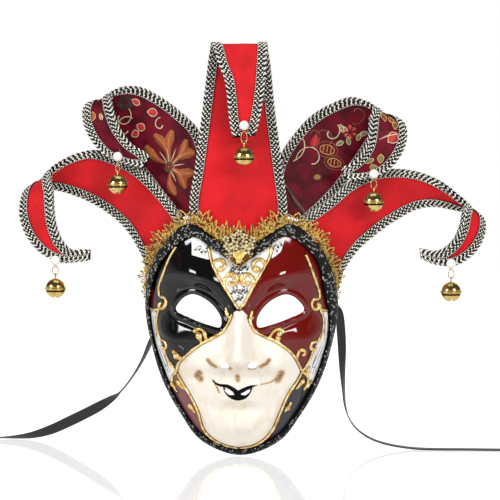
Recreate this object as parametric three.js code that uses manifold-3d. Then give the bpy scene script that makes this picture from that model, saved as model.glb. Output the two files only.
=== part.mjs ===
// Jester carnival mask: a painted full-face shell with five curled horns, braid, lace, bells and ties.
// Millimetres, +Z up. The face looks along -Y and the viewer's right is +X. The origin is on the middle
// line of the face, at the height of the eyes, in the plane of the rim at the temples.
import * as THREE from "three";
import { mergeVertices } from "three/addons/utils/BufferGeometryUtils.js";
import Module from "manifold-3d";

const wasm = await Module();
wasm.setup();

// Driving dimensions
const GAP = 0.3; // clearance between pieces that touch
const SHELL_WALL = 2;
const SHELL_HUB_Z = -30; // height from which the shell's rays start, near the tip of the nose
const SHELL_COLUMNS = 50;
const SHELL_RINGS = 14;
const DOME_POWER = 2.6; // how late the face rolls over into its side walls
const FACE_DEPTH = 62; // from the temple plane to the middle of the face
const FACE_BEND_X = 450; // the face falls back by x squared over this
const FACE_BEND_Z = 900; // and by height squared over this
const FACE_MIDDLE_Z = -10;
const RIM_BRAID_THICK = 2.6;
const LACE_THICK = 1;
const LACE_BEHIND = 0.9; // how far the lace lies behind the rim
const LACE_TUCK = 1.6; // how far the lace reaches in over the rim's back
const LACE_VALLEY = 9; // height of the lace between its points
const LACE_POINT = 16; // height of the lace at its points
const LACE_POINTS = 21;
const LACE_CROWN = { rise: 0.55, reach: 0.05 }; // the lace stands taller and straight up over the dip
const LACE_REACH = 0.225; // share of the rim on each side of the middle that has lace
const HORN_THICK = 2;
const HORN_BRAID_THICK = 1.4;
const HORN_BRAID_WIDTH = 8;
const HORN_STEPS = 19;
const PEARL_RADIUS = 4.3;
const LINK_WIRE = 0.5; // radius of the wire
const LINK_HALF_WIDTH = 2.6;
const BELL_RADIUS = 9;
const BELL_WALL = 0.9;
const BELL_FLANGE_RADIUS = 9.9;
const BELL_FLANGE_HEIGHT = 1.4;
const BELL_SLOT = { wide: 1.8, long: 13, tall: 7 };
const BELL_LOOP_RADIUS = 2.2;
const BELL_LOOP_WIRE = 0.6;
const RIBBON_WIDTH = 10;
const RIBBON_THICK = 1;
const RIBBON_STEPS = 34;
const MEDALLION_THICK = 2.4;

// Half of the shell's edge, from the dip of the forehead to the chin. depth is how far forward the edge is.
const EDGE = [
  { at: "dip", x: 0, z: 56, depth: 57 },
  { at: "inner slope", x: 23, z: 66, depth: 53.5 },
  { at: "peak", x: 45, z: 78, depth: 46 },
  { at: "shoulder", x: 65, z: 63, depth: 34 },
  { at: "upper temple", x: 80, z: 38, depth: 16 },
  { at: "temple", x: 86, z: 3, depth: 3 },
  { at: "cheek", x: 80, z: -33, depth: 2 },
  { at: "jaw", x: 69.5, z: -64, depth: 10 },
  { at: "jaw corner", x: 52, z: -93.5, depth: 22.5 },
  { at: "chin corner", x: 33.6, z: -115.5, depth: 31.5 },
  { at: "chin", x: 0, z: -127, depth: 37 },
];

// The rim braid's width along the edge, from the dip (share 0) to the chin (share 0.5), measured over the face
const RIM_BRAID = [
  { share: 0, width: 10.5 },
  { share: 0.13, width: 10.5 },
  { share: 0.2, width: 16 },
  { share: 0.27, width: 18 },
  { share: 0.33, width: 15 },
  { share: 0.4, width: 9 },
  { share: 0.46, width: 7 },
  { share: 0.5, width: 5.5 },
];

// The nose's ridge from the bridge down: how far it stands out and how broad it is
const NOSE = [
  { z: -56, rise: 0, broad: 18 },
  { z: -50, rise: 6, broad: 18 },
  { z: -45, rise: 17, broad: 17 },
  { z: -38, rise: 23, broad: 14 },
  { z: -25, rise: 17, broad: 9.5 },
  { z: -8, rise: 9, broad: 7.5 },
  { z: 8, rise: 2, broad: 7 },
  { z: 22, rise: 0, broad: 7 },
];

// The brow's ridge from the middle out: its height on the face and how far it stands out. It falls gently
// to the forehead and steeply to the lid.
const BROW = [
  { x: 0, z: 4, rise: 0 },
  { x: 8, z: 11, rise: 2 },
  { x: 22, z: 25, rise: 5 },
  { x: 33, z: 32, rise: 6.5 },
  { x: 45, z: 36, rise: 6.5 },
  { x: 58, z: 37, rise: 5 },
  { x: 72, z: 33, rise: 1.5 },
];
const BROW_ABOVE = 18;
const BROW_BELOW = 6.5;

// Rounded rises and hollows of the face. A row with x above zero is there on both sides.
const RELIEF = [
  { at: "forehead", x: 41, z: 40, wide: 32, tall: 28, rise: 5 },
  { at: "lid", x: 40, z: 21, wide: 18, tall: 7, rise: -3 },
  { at: "eye socket", x: 37, z: 3, wide: 22, tall: 13, rise: -5 },
  { at: "cheekbone", x: 70, z: -27, wide: 22, tall: 15, rise: 10 },
  { at: "smiling cheek", x: 36, z: -43, wide: 14, tall: 11, rise: 4.5 },
  { at: "nose wing", x: 18.5, z: -42.5, wide: 6, tall: 6, rise: 7 },
  { at: "muzzle", x: 0, z: -67, wide: 24, tall: 12, rise: 5 },
  { at: "upper lip", x: 8, z: -63, wide: 10, tall: 4, rise: 2 },
  { at: "lower lip", x: 0, z: -77, wide: 12, tall: 4, rise: 3 },
  { at: "under the lip", x: 0, z: -86, wide: 18, tall: 5, rise: -4 },
  { at: "chin", x: 0, z: -103, wide: 20, tall: 13, rise: 8 },
  { at: "dimple", x: 37, z: -56, wide: 5, tall: 5, rise: -2.5 },
];

// Openings through the shell, as seen from the front, for the +X side
const EYE_HOLE = [
  { at: "outer corner", x: 57.5, z: 3 },
  { at: "upper outer", x: 51, z: 13.5 },
  { at: "crown", x: 42, z: 17.5 },
  { at: "upper inner", x: 31, z: 14 },
  { at: "inner", x: 21.5, z: 6 },
  { at: "tear", x: 16, z: -4 },
  { at: "inner corner", x: 17, z: -11 },
  { at: "lower inner", x: 27, z: -9.5 },
  { at: "lower outer", x: 44, z: -4 },
];
const MOUTH_HOLE = [
  { at: "inner corner", x: 3, z: -70.8 },
  { at: "top", x: 7, z: -68.8 },
  { at: "outer corner", x: 11.5, z: -66.8 },
  { at: "lower outer", x: 10, z: -69.8 },
  { at: "lower", x: 6.5, z: -72 },
];
const MOUTH_MIDDLE_X = -1.5; // the smile is pulled a little to one side
const NOSTRIL = { x: 12, z: -44.5, half_width: 3.8, half_height: 2.7, sides: 10 };

// Half of the medallion's outline, from its top to its foot
const MEDALLION = [
  { at: "top", x: 0, z: 77 },
  { at: "top lobe", x: 6, z: 74 },
  { at: "upper notch", x: 9, z: 69.5 },
  { at: "side lobe", x: 15.5, z: 69 },
  { at: "side notch", x: 15, z: 62.5 },
  { at: "lower lobe", x: 13, z: 56 },
  { at: "foot side", x: 9.5, z: 50 },
  { at: "foot", x: 0, z: 42.5 },
];
const MEDALLION_BACK_Y = -61.2; // its back face, level with its middle
const MEDALLION_MIDDLE_Z = 58;
const MEDALLION_LEAN = 0.1; // radians
const BOSS = { z: 52, radius: 3.2, rise: 2.4 };

// The horns. Each row is one section from base to tip: the two edges of the trimmed strip, and bow, how
// far the middle of the section stands forward of the line between its edges.
const HORN_COLUMNS = ["ax", "ay", "az", "bx", "by", "bz", "bow"];
const HORNS = {
  horn_centre: [
    [-40, -39, 50, 40, -39, 50, 10],
    [-45, -40.6, 95, 42, -40.6, 95, 8],
    [-40, -43, 129, 38, -43, 129, 5],
    [-33, -44, 182, 31, -44, 182, 2],
    [-28, -45, 222, 27, -45, 222, 0],
    [-26, -48, 235, 25, -48, 235, 0],
    [-24.5, -55, 239.5, 24.5, -55, 239.5, 0],
    [-21.5, -62, 235.5, 24.5, -62, 235.5, 0],
    [-18, -66, 223.5, 24, -66, 223.5, 0],
    [-12, -67, 208, 23, -67, 208, 0],
    [-9.5, -67, 190, 21, -67, 190, 0],
    [-8, -66, 173, 18, -66, 173, 0],
    [-5, -64, 157, 14, -64, 159, 0],
  ],
  horn_left_red: [
    [-51, -39, 82, -83, -7, 32, 0],
    [-61, -37, 97, -91, -11, 52, 0],
    [-74, -34, 113, -104, -15, 74, 0],
    [-91, -31, 129, -120, -18, 89, 0],
    [-111, -29, 140, -138, -20, 100, 0],
    [-132, -29, 146, -155, -20, 107, 0],
    [-150, -31, 142, -169, -20, 111, 0],
    [-163, -36, 134, -182, -22, 113, 0],
    [-170, -43, 127, -191, -29, 112, 0],
    [-169.5, -51, 119, -195, -39, 107, 0],
    [-167, -56, 110, -196.5, -46, 98, 0],
    [-166, -59, 98, -196, -51, 86, 0],
    [-164, -60, 82, -190, -55, 70, 0],
    [-158, -59, 66, -177, -58, 55, 0],
    [-149, -57, 57, -160, -58, 47, 0],
    [-141, -56, 57, -144, -57, 47.5, 0],
    [-133, -55, 57, -133, -56, 49, 0],
  ],
  horn_right_red: [
    [53, -38, 82, 88, -0.5, 20, 0],
    [65, -36, 91, 93, -7, 36, 0],
    [81, -34, 103, 106, -15, 56, 0],
    [99, -31, 118, 124, -18, 72, 0],
    [119, -29, 127, 143, -20, 85, 0],
    [139, -29, 129, 161, -20, 94, 0],
    [160, -30, 126, 176, -20, 96, 0],
    [180, -33, 117, 192, -21, 94, 0],
    [193, -38, 106, 206, -24, 91, 0],
    [201, -44, 98, 217, -31, 85, 0],
    [199, -52, 91, 218.5, -40, 76, 0],
    [196, -57, 79, 215, -47, 65, 0],
    [190, -59, 67, 207, -52, 54, 0],
    [181, -59, 59, 192, -56, 45, 0],
    [172, -58, 56.5, 175, -57, 45.5, 0],
    [160, -56, 59, 161, -56, 51, 0],
  ],
  horn_left_brocade: [
    [-31, -31.5, 91, -62, -28.4, 84, 0],
    [-29, -29, 121, -75, -22, 103, 0],
    [-38, -24, 163, -87, -18, 119, 0],
    [-55, -21, 181, -99, -14, 133, 0],
    [-74, -19, 195, -110, -12, 149, 0],
    [-92, -19, 203.5, -120, -11, 166, 0],
    [-107, -22, 203, -129.5, -13, 180, 0],
    [-117, -28, 196, -138, -19, 188, 0],
    [-116, -34, 187, -142, -27, 183, 0],
    [-112, -38, 174, -141, -33, 170, 0],
    [-106, -39, 162, -135, -36, 157, 0],
    [-97, -39, 151, -124, -38, 144, 0],
    [-87, -38, 145, -106, -38, 135, 0],
    [-81, -37, 140, -86, -38, 131, 0],
  ],
  horn_right_brocade: [
    [29, -32, 91, 60, -29, 82, 0],
    [30, -29, 118, 77, -22, 97, 0],
    [36, -24, 141, 89, -18, 109, 0],
    [49, -21, 161, 98, -14, 121, 0],
    [65, -19, 178, 107, -12, 133, 0],
    [84, -19, 189, 116, -11, 147, 0],
    [101, -21, 194, 125, -13, 161, 0],
    [113, -25, 189, 135, -15, 173, 0],
    [120, -31, 183, 143, -21, 173, 0],
    [117, -36, 177, 148.5, -28, 166, 0],
    [116, -39, 166, 148, -34, 152, 0],
    [114, -40, 154, 142, -37, 139, 0],
    [108, -39, 142, 133, -38, 129, 0],
    [99, -38, 134, 118, -38, 122, 0],
    [90, -37, 130, 94, -38, 120, 0],
  ],
};

// Where each horn's pearl sits: section counts rows of the horn's table, across runs from edge a to edge b,
// and over is the thickness of braid under the pearl. link is the height of the wire link below it.
const BELLS = [
  { horn: "horn_left_red", section: 13.75, across: 0.95, over: HORN_BRAID_THICK + GAP, link: 8 },
  { horn: "horn_left_brocade", section: 11.5, across: 0.75, over: HORN_BRAID_THICK + GAP, link: 8 },
  { horn: "horn_centre", section: 11.3, across: 0.5, over: 0, link: 10.5 },
  { horn: "horn_right_brocade", section: 12.7, across: 0.85, over: HORN_BRAID_THICK + GAP, link: 8 },
  { horn: "horn_right_red", section: 13.2, across: 0.8, over: HORN_BRAID_THICK + GAP, link: 8 },
];

// The ties. turn is the angle of the ribbon's width out of the line of sight: 0 shows its edge, 90 its face.
const RIBBON_COLUMNS = ["x", "y", "z", "turn"];
const RIBBONS = {
  ribbon_left: [
    [-80.9, -7, 14, 0],
    [-81.4, -5, 2, 0],
    [-80, 3, -14, 0],
    [-82.5, 6.8, -24, 10],
    [-86.2, 8, -33, 20],
    [-92.5, 10, -47.4, 12],
    [-102.9, 14, -64.9, 6],
    [-113.8, 18, -78.7, 5],
    [-123.6, 21, -86.8, 35],
    [-139.5, 26, -97.1, 70],
    [-163.3, 32, -109.7, 80],
    [-185.1, 36, -120, 65],
    [-203, 39, -125.6, 42],
    [-218.6, 40, -127.6, 25],
    [-234, 40, -128.3, 14],
    [-241.8, 40, -128.3, 14],
  ],
  ribbon_right: [
    [79.2, -7, 24, 0],
    [80.5, -5, 14, 0],
    [85, 5, 5, 15],
    [90.1, 7, -3.3, 38],
    [92, 9, -20.3, 52],
    [93, 9, -37.1, 48],
    [93.5, 8, -57.6, 30],
    [94.5, 6, -76, 14],
    [95.9, 4, -89.8, 8],
    [99.6, 2, -101.6, 0],
    [107, 1, -111.7, 0],
    [119, 0, -119.9, 0],
    [132.9, -1, -124.8, 0],
    [149.5, -1, -127.9, 0],
    [165.3, -1, -129.4, 0],
    [184.6, -2, -129.6, 0],
    [206.7, -2, -129.6, 0],
    [238.8, -3, -129.6, 0],
    [246.2, -3, -129.6, 0],
  ],
};

// Finishes
const finish = (color, roughness, metalness = 0) =>
  new THREE.MeshStandardMaterial({ color, roughness, metalness });
const FINISHES = {
  shell: finish(0xe6dcc4, 0.25),
  red: finish(0xb81c1c, 0.85),
  brocade: finish(0x4a1020, 0.6),
  braid: finish(0x55534c, 0.6, 0.2),
  rim: finish(0x161616, 0.5),
  gold: finish(0xb98a35, 0.4, 0.8),
  pearl: finish(0xf4efe6, 0.2),
  brass: finish(0xd2a63c, 0.2, 1),
  ribbon: finish(0x101010, 0.4),
};

const mask = new THREE.Group();

function addPiece(name, geometry, material) {
  const mesh = new THREE.Mesh(geometry, material);
  mesh.name = name;
  mask.add(mesh);
  return mesh;
}

// Meshes: a closed mesh from points and triangles, turned right side out
function closedGeometry(points, triangles) {
  const volume = triangles.reduce((sum, [i, j, k]) => {
    const normal = new THREE.Vector3().crossVectors(points[j], points[k]);
    return sum + points[i].dot(normal);
  }, 0);
  const outward = volume > 0 ? triangles : triangles.map(([i, j, k]) => [i, k, j]);
  const geometry = new THREE.BufferGeometry();
  geometry.setAttribute("position", new THREE.Float32BufferAttribute(points.flatMap((p) => p.toArray()), 3));
  geometry.setIndex(outward.flat());
  return geometry;
}

function toSolid(geometry) {
  const bare = geometry.clone();
  bare.deleteAttribute("normal");
  bare.deleteAttribute("uv");
  const merged = mergeVertices(bare, 1e-3);
  const vertProperties = new Float32Array(merged.attributes.position.array);
  const triVerts = new Uint32Array(merged.index.array);
  return new wasm.Manifold(new wasm.Mesh({ numProp: 3, vertProperties, triVerts }));
}

function toGeometry(solid) {
  const mesh = solid.getMesh();
  const geometry = new THREE.BufferGeometry();
  geometry.setAttribute("position", new THREE.Float32BufferAttribute(mesh.vertProperties, 3));
  geometry.setIndex([...mesh.triVerts]);
  return geometry;
}

// A skin over rings of points. capTriangles close both ends, and without them the rings close on themselves.
function loft(rings, capTriangles) {
  const count = rings[0].length;
  const points = rings.flat();
  const triangles = [];
  const bands = capTriangles ? rings.length - 1 : rings.length;
  for (let i = 0; i < bands; i++) {
    const next = (i + 1) % rings.length;
    for (let k = 0; k < count; k++) {
      const across = (k + 1) % count;
      triangles.push([i * count + k, next * count + k, next * count + across]);
      triangles.push([i * count + k, next * count + across, i * count + across]);
    }
  }
  if (capTriangles) {
    const end = (rings.length - 1) * count;
    capTriangles.forEach(([i, j, k]) => triangles.push([i, j, k], [end + k, end + j, end + i]));
  }
  return closedGeometry(points, triangles);
}

// End caps for a section whose first half runs along one face and second half comes back along the other
function stripCaps(count) {
  const triangles = [];
  for (let k = 0; k < count / 2 - 1; k++) {
    const back = count - 1 - k;
    triangles.push([k, k + 1, back - 1], [k, back - 1, back]);
  }
  return triangles;
}

// A smooth curve through a table's rows, by its key column
function interpolate(rows, key, value, at) {
  const last = rows.length - 1;
  if (at <= rows[0][key]) return rows[0][value];
  if (at >= rows[last][key]) return rows[last][value];
  const i = rows.findIndex((row) => row[key] > at) - 1;
  const slope = (k) => {
    const before = rows[Math.max(k - 1, 0)];
    const after = rows[Math.min(k + 1, last)];
    return (after[value] - before[value]) / (after[key] - before[key]);
  };
  const span = rows[i + 1][key] - rows[i][key];
  const t = (at - rows[i][key]) / span;
  const start = rows[i][value] + slope(i) * span * t * (1 - t) * (1 - t);
  const rise = (rows[i + 1][value] - rows[i][value]) * t * t * (3 - 2 * t);
  return start + rise - slope(i + 1) * span * t * t * (1 - t);
}

function tableRows(columns, rows) {
  return rows.map((row) => Object.fromEntries(columns.map((name, i) => [name, row[i]])));
}

// The shell's edge as one closed curve, from the dip down the +X side to the chin and back up
const halfEdge = EDGE.map((row) => new THREE.Vector3(row.x, -row.depth, row.z));
const otherHalf = halfEdge.slice(1, -1).reverse().map((p) => new THREE.Vector3(-p.x, p.y, p.z));
const edgeCurve = new THREE.CatmullRomCurve3([...halfEdge, ...otherHalf], true, "centripetal");
edgeCurve.arcLengthDivisions = 800;

function relief(x, z) {
  const broad = interpolate(NOSE, "z", "broad", z);
  let rise = interpolate(NOSE, "z", "rise", z) * Math.exp(-((x / broad) ** 2));
  for (const row of RELIEF) {
    const away = (Math.abs(x) - row.x) / row.wide;
    const up = (z - row.z) / row.tall;
    rise += row.rise * Math.exp(-(away * away) - up * up);
  }
  const aboveBrow = z - interpolate(BROW, "x", "z", Math.abs(x));
  const slope = aboveBrow > 0 ? BROW_ABOVE : BROW_BELOW;
  rise += interpolate(BROW, "x", "rise", Math.abs(x)) * Math.exp(-((aboveBrow / slope) ** 2));
  return rise;
}

// A point of the shell's face: along is a share of the edge's length, and out runs from the hub to the edge
function facePoint(along, out) {
  const edge = edgeCurve.getPointAt(along);
  const x = out * edge.x;
  const z = SHELL_HUB_Z + out * (edge.z - SHELL_HUB_Z);
  const middle = FACE_DEPTH - x ** 2 / FACE_BEND_X - (z - FACE_MIDDLE_Z) ** 2 / FACE_BEND_Z;
  const dome = Math.sqrt(Math.max(0, 1 - out ** DOME_POWER));
  const fade = 1 - out ** 6;
  return new THREE.Vector3(x, edge.y - (middle + edge.y) * dome - relief(x, z) * fade, z);
}

function faceNormal(along, out) {
  const small = 0.002;
  const inside = Math.max(out, 0.02);
  const outward = facePoint(along, inside).sub(facePoint(along, inside - small));
  if (out === 1) outward.set(0, 1, 0); // the wall runs straight back where it ends
  const around = facePoint((along + small) % 1, inside).sub(facePoint((along + 1 - small) % 1, inside));
  return around.cross(outward).normalize();
}

function shellGeometry() {
  const outside = [new THREE.Vector3(0, facePoint(0, 0).y, SHELL_HUB_Z)];
  const inside = [outside[0].clone().add(new THREE.Vector3(0, SHELL_WALL, 0))];
  for (let i = 1; i <= SHELL_RINGS; i++) {
    const share = i / SHELL_RINGS;
    const out = 0.45 * share + 0.55 * Math.sin((share * Math.PI) / 2);
    for (let k = 0; k < SHELL_COLUMNS; k++) {
      const along = k / SHELL_COLUMNS;
      const point = facePoint(along, out);
      outside.push(point);
      inside.push(point.clone().addScaledVector(faceNormal(along, out), -SHELL_WALL));
    }
  }
  const triangles = [];
  const shift = outside.length;
  const at = (i, k) => 1 + (i - 1) * SHELL_COLUMNS + (k % SHELL_COLUMNS);
  const addWall = (i, j, k) => triangles.push([i, j, k], [shift + i, shift + k, shift + j]);
  for (let k = 0; k < SHELL_COLUMNS; k++) {
    addWall(0, at(1, k), at(1, k + 1));
    for (let i = 1; i < SHELL_RINGS; i++) {
      addWall(at(i, k), at(i + 1, k), at(i + 1, k + 1));
      addWall(at(i, k), at(i + 1, k + 1), at(i, k + 1));
    }
    const rim = at(SHELL_RINGS, k);
    const rimNext = at(SHELL_RINGS, k + 1);
    triangles.push([rim, shift + rim, shift + rimNext], [rim, shift + rimNext, rimNext]);
  }
  return closedGeometry([...outside, ...inside], triangles);
}

// A cutter that runs from behind the face out through its front
function frontCutter(outline) {
  const geometry = new THREE.ExtrudeGeometry(new THREE.Shape(outline), {
    depth: 2 * FACE_DEPTH,
    bevelEnabled: false,
  });
  return toSolid(geometry.rotateX(Math.PI / 2));
}

function holeOutline(rows, side, shiftX, points) {
  const corners = rows.map((row) => new THREE.Vector3(side * row.x + shiftX, row.z, 0));
  const curve = new THREE.CatmullRomCurve3(corners, true, "centripetal");
  return curve.getPoints(points).slice(0, -1).map((p) => new THREE.Vector2(p.x, p.y));
}

function makeShell() {
  let solid = toSolid(shellGeometry());
  for (const side of [-1, 1]) {
    const nostril = new THREE.EllipseCurve(
      side * NOSTRIL.x, NOSTRIL.z, NOSTRIL.half_width, NOSTRIL.half_height);
    solid = solid
      .subtract(frontCutter(holeOutline(EYE_HOLE, side, 0, 28)))
      .subtract(frontCutter(holeOutline(MOUTH_HOLE, side, MOUTH_MIDDLE_X, 12)))
      .subtract(frontCutter(nostril.getPoints(NOSTRIL.sides).slice(0, -1)));
  }
  addPiece("mask_shell", toGeometry(solid), FINISHES.shell);
}

// The braid lies on the face along the edge: four points across it, on its under and upper side
function makeRimBraid() {
  const rings = [];
  for (let k = 0; k < SHELL_COLUMNS; k++) {
    const along = k / SHELL_COLUMNS;
    const width = interpolate(RIM_BRAID, "share", "width", Math.min(along, 1 - along));
    const under = [];
    const upper = [];
    for (const share of [0, 0.25, 0.55, 1]) {
      const out = outAtDistance(along, share * width);
      const point = facePoint(along, out);
      const normal = faceNormal(along, out);
      under.push(point.clone().addScaledVector(normal, 2 * GAP));
      upper.unshift(point.clone().addScaledVector(normal, 2 * GAP + RIM_BRAID_THICK));
    }
    rings.push([...under, ...upper]);
  }
  addPiece("rim_braid", loft(rings), FINISHES.rim);
}

// How far out along its ray the face is, at a distance from the edge measured over the surface
function outAtDistance(along, distance) {
  const step = 0.002;
  let out = 1;
  let walked = 0;
  while (walked < distance && out > step) {
    walked += facePoint(along, out).distanceTo(facePoint(along, out - step));
    out -= step;
  }
  return out;
}

function makeLace() {
  const rings = [];
  for (let i = 0; i <= 2 * LACE_POINTS; i++) {
    const along = LACE_REACH * (i / LACE_POINTS - 1);
    const wrapped = (along + 1) % 1;
    const edge = edgeCurve.getPointAt(wrapped);
    const tangent = edgeCurve.getTangentAt(wrapped);
    const crown = Math.exp(-((along / LACE_CROWN.reach) ** 2));
    const outward = new THREE.Vector3(-tangent.z, 0, tangent.x).normalize();
    outward.lerp(new THREE.Vector3(0, 0, 1), crown).normalize();
    const taper = Math.min(1, (LACE_REACH - Math.abs(along)) / 0.04 + 0.4) * (1 + LACE_CROWN.rise * crown);
    const height = (i % 2 ? LACE_POINT : LACE_VALLEY) * taper;
    const front = edge.clone().add(new THREE.Vector3(0, LACE_BEHIND, 0));
    const back = front.clone().add(new THREE.Vector3(0, LACE_THICK, 0));
    rings.push([
      front.clone().addScaledVector(outward, -LACE_TUCK),
      front.clone().addScaledVector(outward, height),
      back.clone().addScaledVector(outward, height),
      back.clone().addScaledVector(outward, -LACE_TUCK),
    ]);
  }
  addPiece("lace_trim", loft(rings, stripCaps(4)), FINISHES.gold);
}

function makeMedallion() {
  const half = MEDALLION.map((row) => new THREE.Vector3(row.x, row.z - MEDALLION_MIDDLE_Z, 0));
  const rest = half.slice(1, -1).reverse().map((p) => new THREE.Vector3(-p.x, p.y, 0));
  const curve = new THREE.CatmullRomCurve3([...half, ...rest], true, "centripetal");
  const outline = curve.getPoints(42).slice(0, -1).map((p) => new THREE.Vector2(p.x, p.y));
  const plate = new THREE.ExtrudeGeometry(new THREE.Shape(outline), {
    depth: MEDALLION_THICK,
    bevelEnabled: false,
  });
  const boss = new THREE.ConeGeometry(BOSS.radius, BOSS.rise + MEDALLION_THICK, 10);
  boss.rotateX(Math.PI / 2);
  boss.translate(0, BOSS.z - MEDALLION_MIDDLE_Z, MEDALLION_THICK / 2 + BOSS.rise / 2 + GAP);
  const mesh = addPiece("medallion", toGeometry(toSolid(plate).add(toSolid(boss))), FINISHES.gold);
  mesh.rotation.x = Math.PI / 2 - MEDALLION_LEAN;
  mesh.position.set(0, MEDALLION_BACK_Y, MEDALLION_MIDDLE_Z);
}

// A horn's curved strip: edges a and b, the side that faces forward at the base, and points in between
class Horn {
  constructor(rows) {
    const table = tableRows(HORN_COLUMNS, rows);
    const corner = (edge) => (row) => new THREE.Vector3(row[`${edge}x`], row[`${edge}y`], row[`${edge}z`]);
    this.sections = table.length - 1;
    this.edgeA = new THREE.CatmullRomCurve3(table.map(corner("a")), false, "centripetal");
    this.edgeB = new THREE.CatmullRomCurve3(table.map(corner("b")), false, "centripetal");
    this.bows = new THREE.CatmullRomCurve3(table.map((row) => new THREE.Vector3(row.bow, 0, 0)));
    this.front = 1;
    this.front = this.normal(0).y < 0 ? 1 : -1;
  }

  middle(t) {
    return this.edgeA.getPoint(t).lerp(this.edgeB.getPoint(t), 0.5);
  }

  normal(t) {
    const small = 0.01;
    const along = this.middle(Math.min(t + small, 1)).sub(this.middle(Math.max(t - small, 0)));
    const across = this.edgeB.getPoint(t).sub(this.edgeA.getPoint(t));
    return along.cross(across).normalize().multiplyScalar(this.front);
  }

  width(t) {
    return this.edgeA.getPoint(t).distanceTo(this.edgeB.getPoint(t));
  }

  // The bowed section is made of four straight stretches
  point(t, across, lift) {
    const quarter = Math.min(Math.floor(across * 4), 3);
    const bowAt = (k) => k / 4 * (1 - k / 4) * 4 * this.bows.getPoint(t).x;
    const share = across * 4 - quarter;
    const bow = bowAt(quarter) * (1 - share) + bowAt(quarter + 1) * share;
    const flat = this.edgeA.getPoint(t).lerp(this.edgeB.getPoint(t), across);
    return flat.addScaledVector(this.normal(t), bow + lift);
  }
}

function hornSteps() {
  return Array.from({ length: HORN_STEPS + 1 }, (_, i) => i / HORN_STEPS);
}

function braidDepth(horn, t) {
  return Math.min(HORN_BRAID_WIDTH, horn.width(t) / 2 - GAP);
}

// A flat section has points only at its edges and under the braids' inner sides
function hornCard(horn, bowed) {
  const rings = hornSteps().map((t) => {
    const margin = (HORN_BRAID_THICK + GAP) / horn.width(t);
    const covered = braidDepth(horn, t) / horn.width(t);
    const between = bowed ? [0.25, 0.5, 0.75] : [covered, 1 - covered];
    const places = [margin, ...between, 1 - margin];
    const front = places.map((across) => horn.point(t, across, HORN_THICK / 2));
    const back = places.map((across) => horn.point(t, across, -HORN_THICK / 2)).reverse();
    return [...front, ...back];
  });
  return loft(rings, stripCaps(rings[0].length));
}

// The braid is folded over an edge of the horn, as a channel with a slot for the horn
function hornBraid(horn, fromB) {
  const slot = HORN_THICK / 2 + GAP;
  const skin = slot + HORN_BRAID_THICK;
  const rings = hornSteps().map((t) => {
    const width = horn.width(t);
    const deep = braidDepth(horn, t);
    const at = (inward, lift) => horn.point(t, fromB ? 1 - inward / width : inward / width, lift);
    return [
      at(0, skin), at(deep, skin), at(deep, slot), at(HORN_BRAID_THICK, slot),
      at(HORN_BRAID_THICK, -slot), at(deep, -slot), at(deep, -skin), at(0, -skin),
    ];
  });
  const caps = [[0, 1, 2], [0, 2, 3], [0, 3, 4], [0, 4, 7], [4, 5, 6], [4, 6, 7]];
  return loft(rings, caps);
}

function makeHorns() {
  const horns = {};
  for (const [name, rows] of Object.entries(HORNS)) {
    const horn = new Horn(rows);
    const cloth = name.endsWith("brocade") ? FINISHES.brocade : FINISHES.red;
    addPiece(name, hornCard(horn, rows[0].at(-1) > 0), cloth);
    addPiece(`${name}_braid_a`, hornBraid(horn, false), FINISHES.braid);
    addPiece(`${name}_braid_b`, hornBraid(horn, true), FINISHES.braid);
    horns[name] = horn;
  }
  return horns;
}

// A ball of brass with a belt round its middle, hollow, slotted below and with a loop on top
function bellGeometry() {
  const ball = (radius, belt) => {
    const profile = [];
    const arc = 4;
    for (let i = 0; i <= arc; i++) {
      const angle = -Math.PI / 2 + (i / arc) * (Math.PI / 2 - 0.12);
      profile.push(new THREE.Vector2(i ? radius * Math.cos(angle) : 0, radius * Math.sin(angle)));
    }
    const upper = profile.map((p) => new THREE.Vector2(p.x, -p.y)).reverse();
    const middle = belt
      ? [-1, 1].map((side) => new THREE.Vector2(belt, side * BELL_FLANGE_HEIGHT / 2))
      : [];
    return new THREE.LatheGeometry([...profile, ...middle, ...upper], 12).rotateX(Math.PI / 2);
  };
  const loop = new THREE.TorusGeometry(BELL_LOOP_RADIUS, BELL_LOOP_WIRE, 5, 9);
  loop.rotateY(Math.PI / 2).translate(0, 0, BELL_RADIUS + BELL_LOOP_RADIUS - BELL_LOOP_WIRE / 2);
  const slot = new THREE.BoxGeometry(BELL_SLOT.wide, BELL_SLOT.long, BELL_SLOT.tall);
  slot.translate(0, 0, -BELL_RADIUS);
  const solid = toSolid(ball(BELL_RADIUS, BELL_FLANGE_RADIUS))
    .add(toSolid(loop))
    .subtract(toSolid(ball(BELL_RADIUS - BELL_WALL, 0)))
    .subtract(toSolid(slot));
  return toGeometry(solid);
}

// A long ring of wire, upright and seen face on
function linkGeometry(height) {
  const turns = 12;
  const sides = 5;
  const rings = [];
  for (let i = 0; i < turns; i++) {
    const angle = (i / turns) * 2 * Math.PI;
    const middle = new THREE.Vector3(LINK_HALF_WIDTH * Math.cos(angle), 0, (height / 2) * Math.sin(angle));
    const outward = new THREE.Vector3((height / 2) * Math.cos(angle), 0, LINK_HALF_WIDTH * Math.sin(angle));
    outward.normalize();
    rings.push(Array.from({ length: sides }, (_, k) => {
      const around = (k / sides) * 2 * Math.PI;
      const point = middle.clone().addScaledVector(outward, LINK_WIRE * Math.cos(around));
      return point.add(new THREE.Vector3(0, LINK_WIRE * Math.sin(around), 0));
    }));
  }
  return loft(rings);
}

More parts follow.
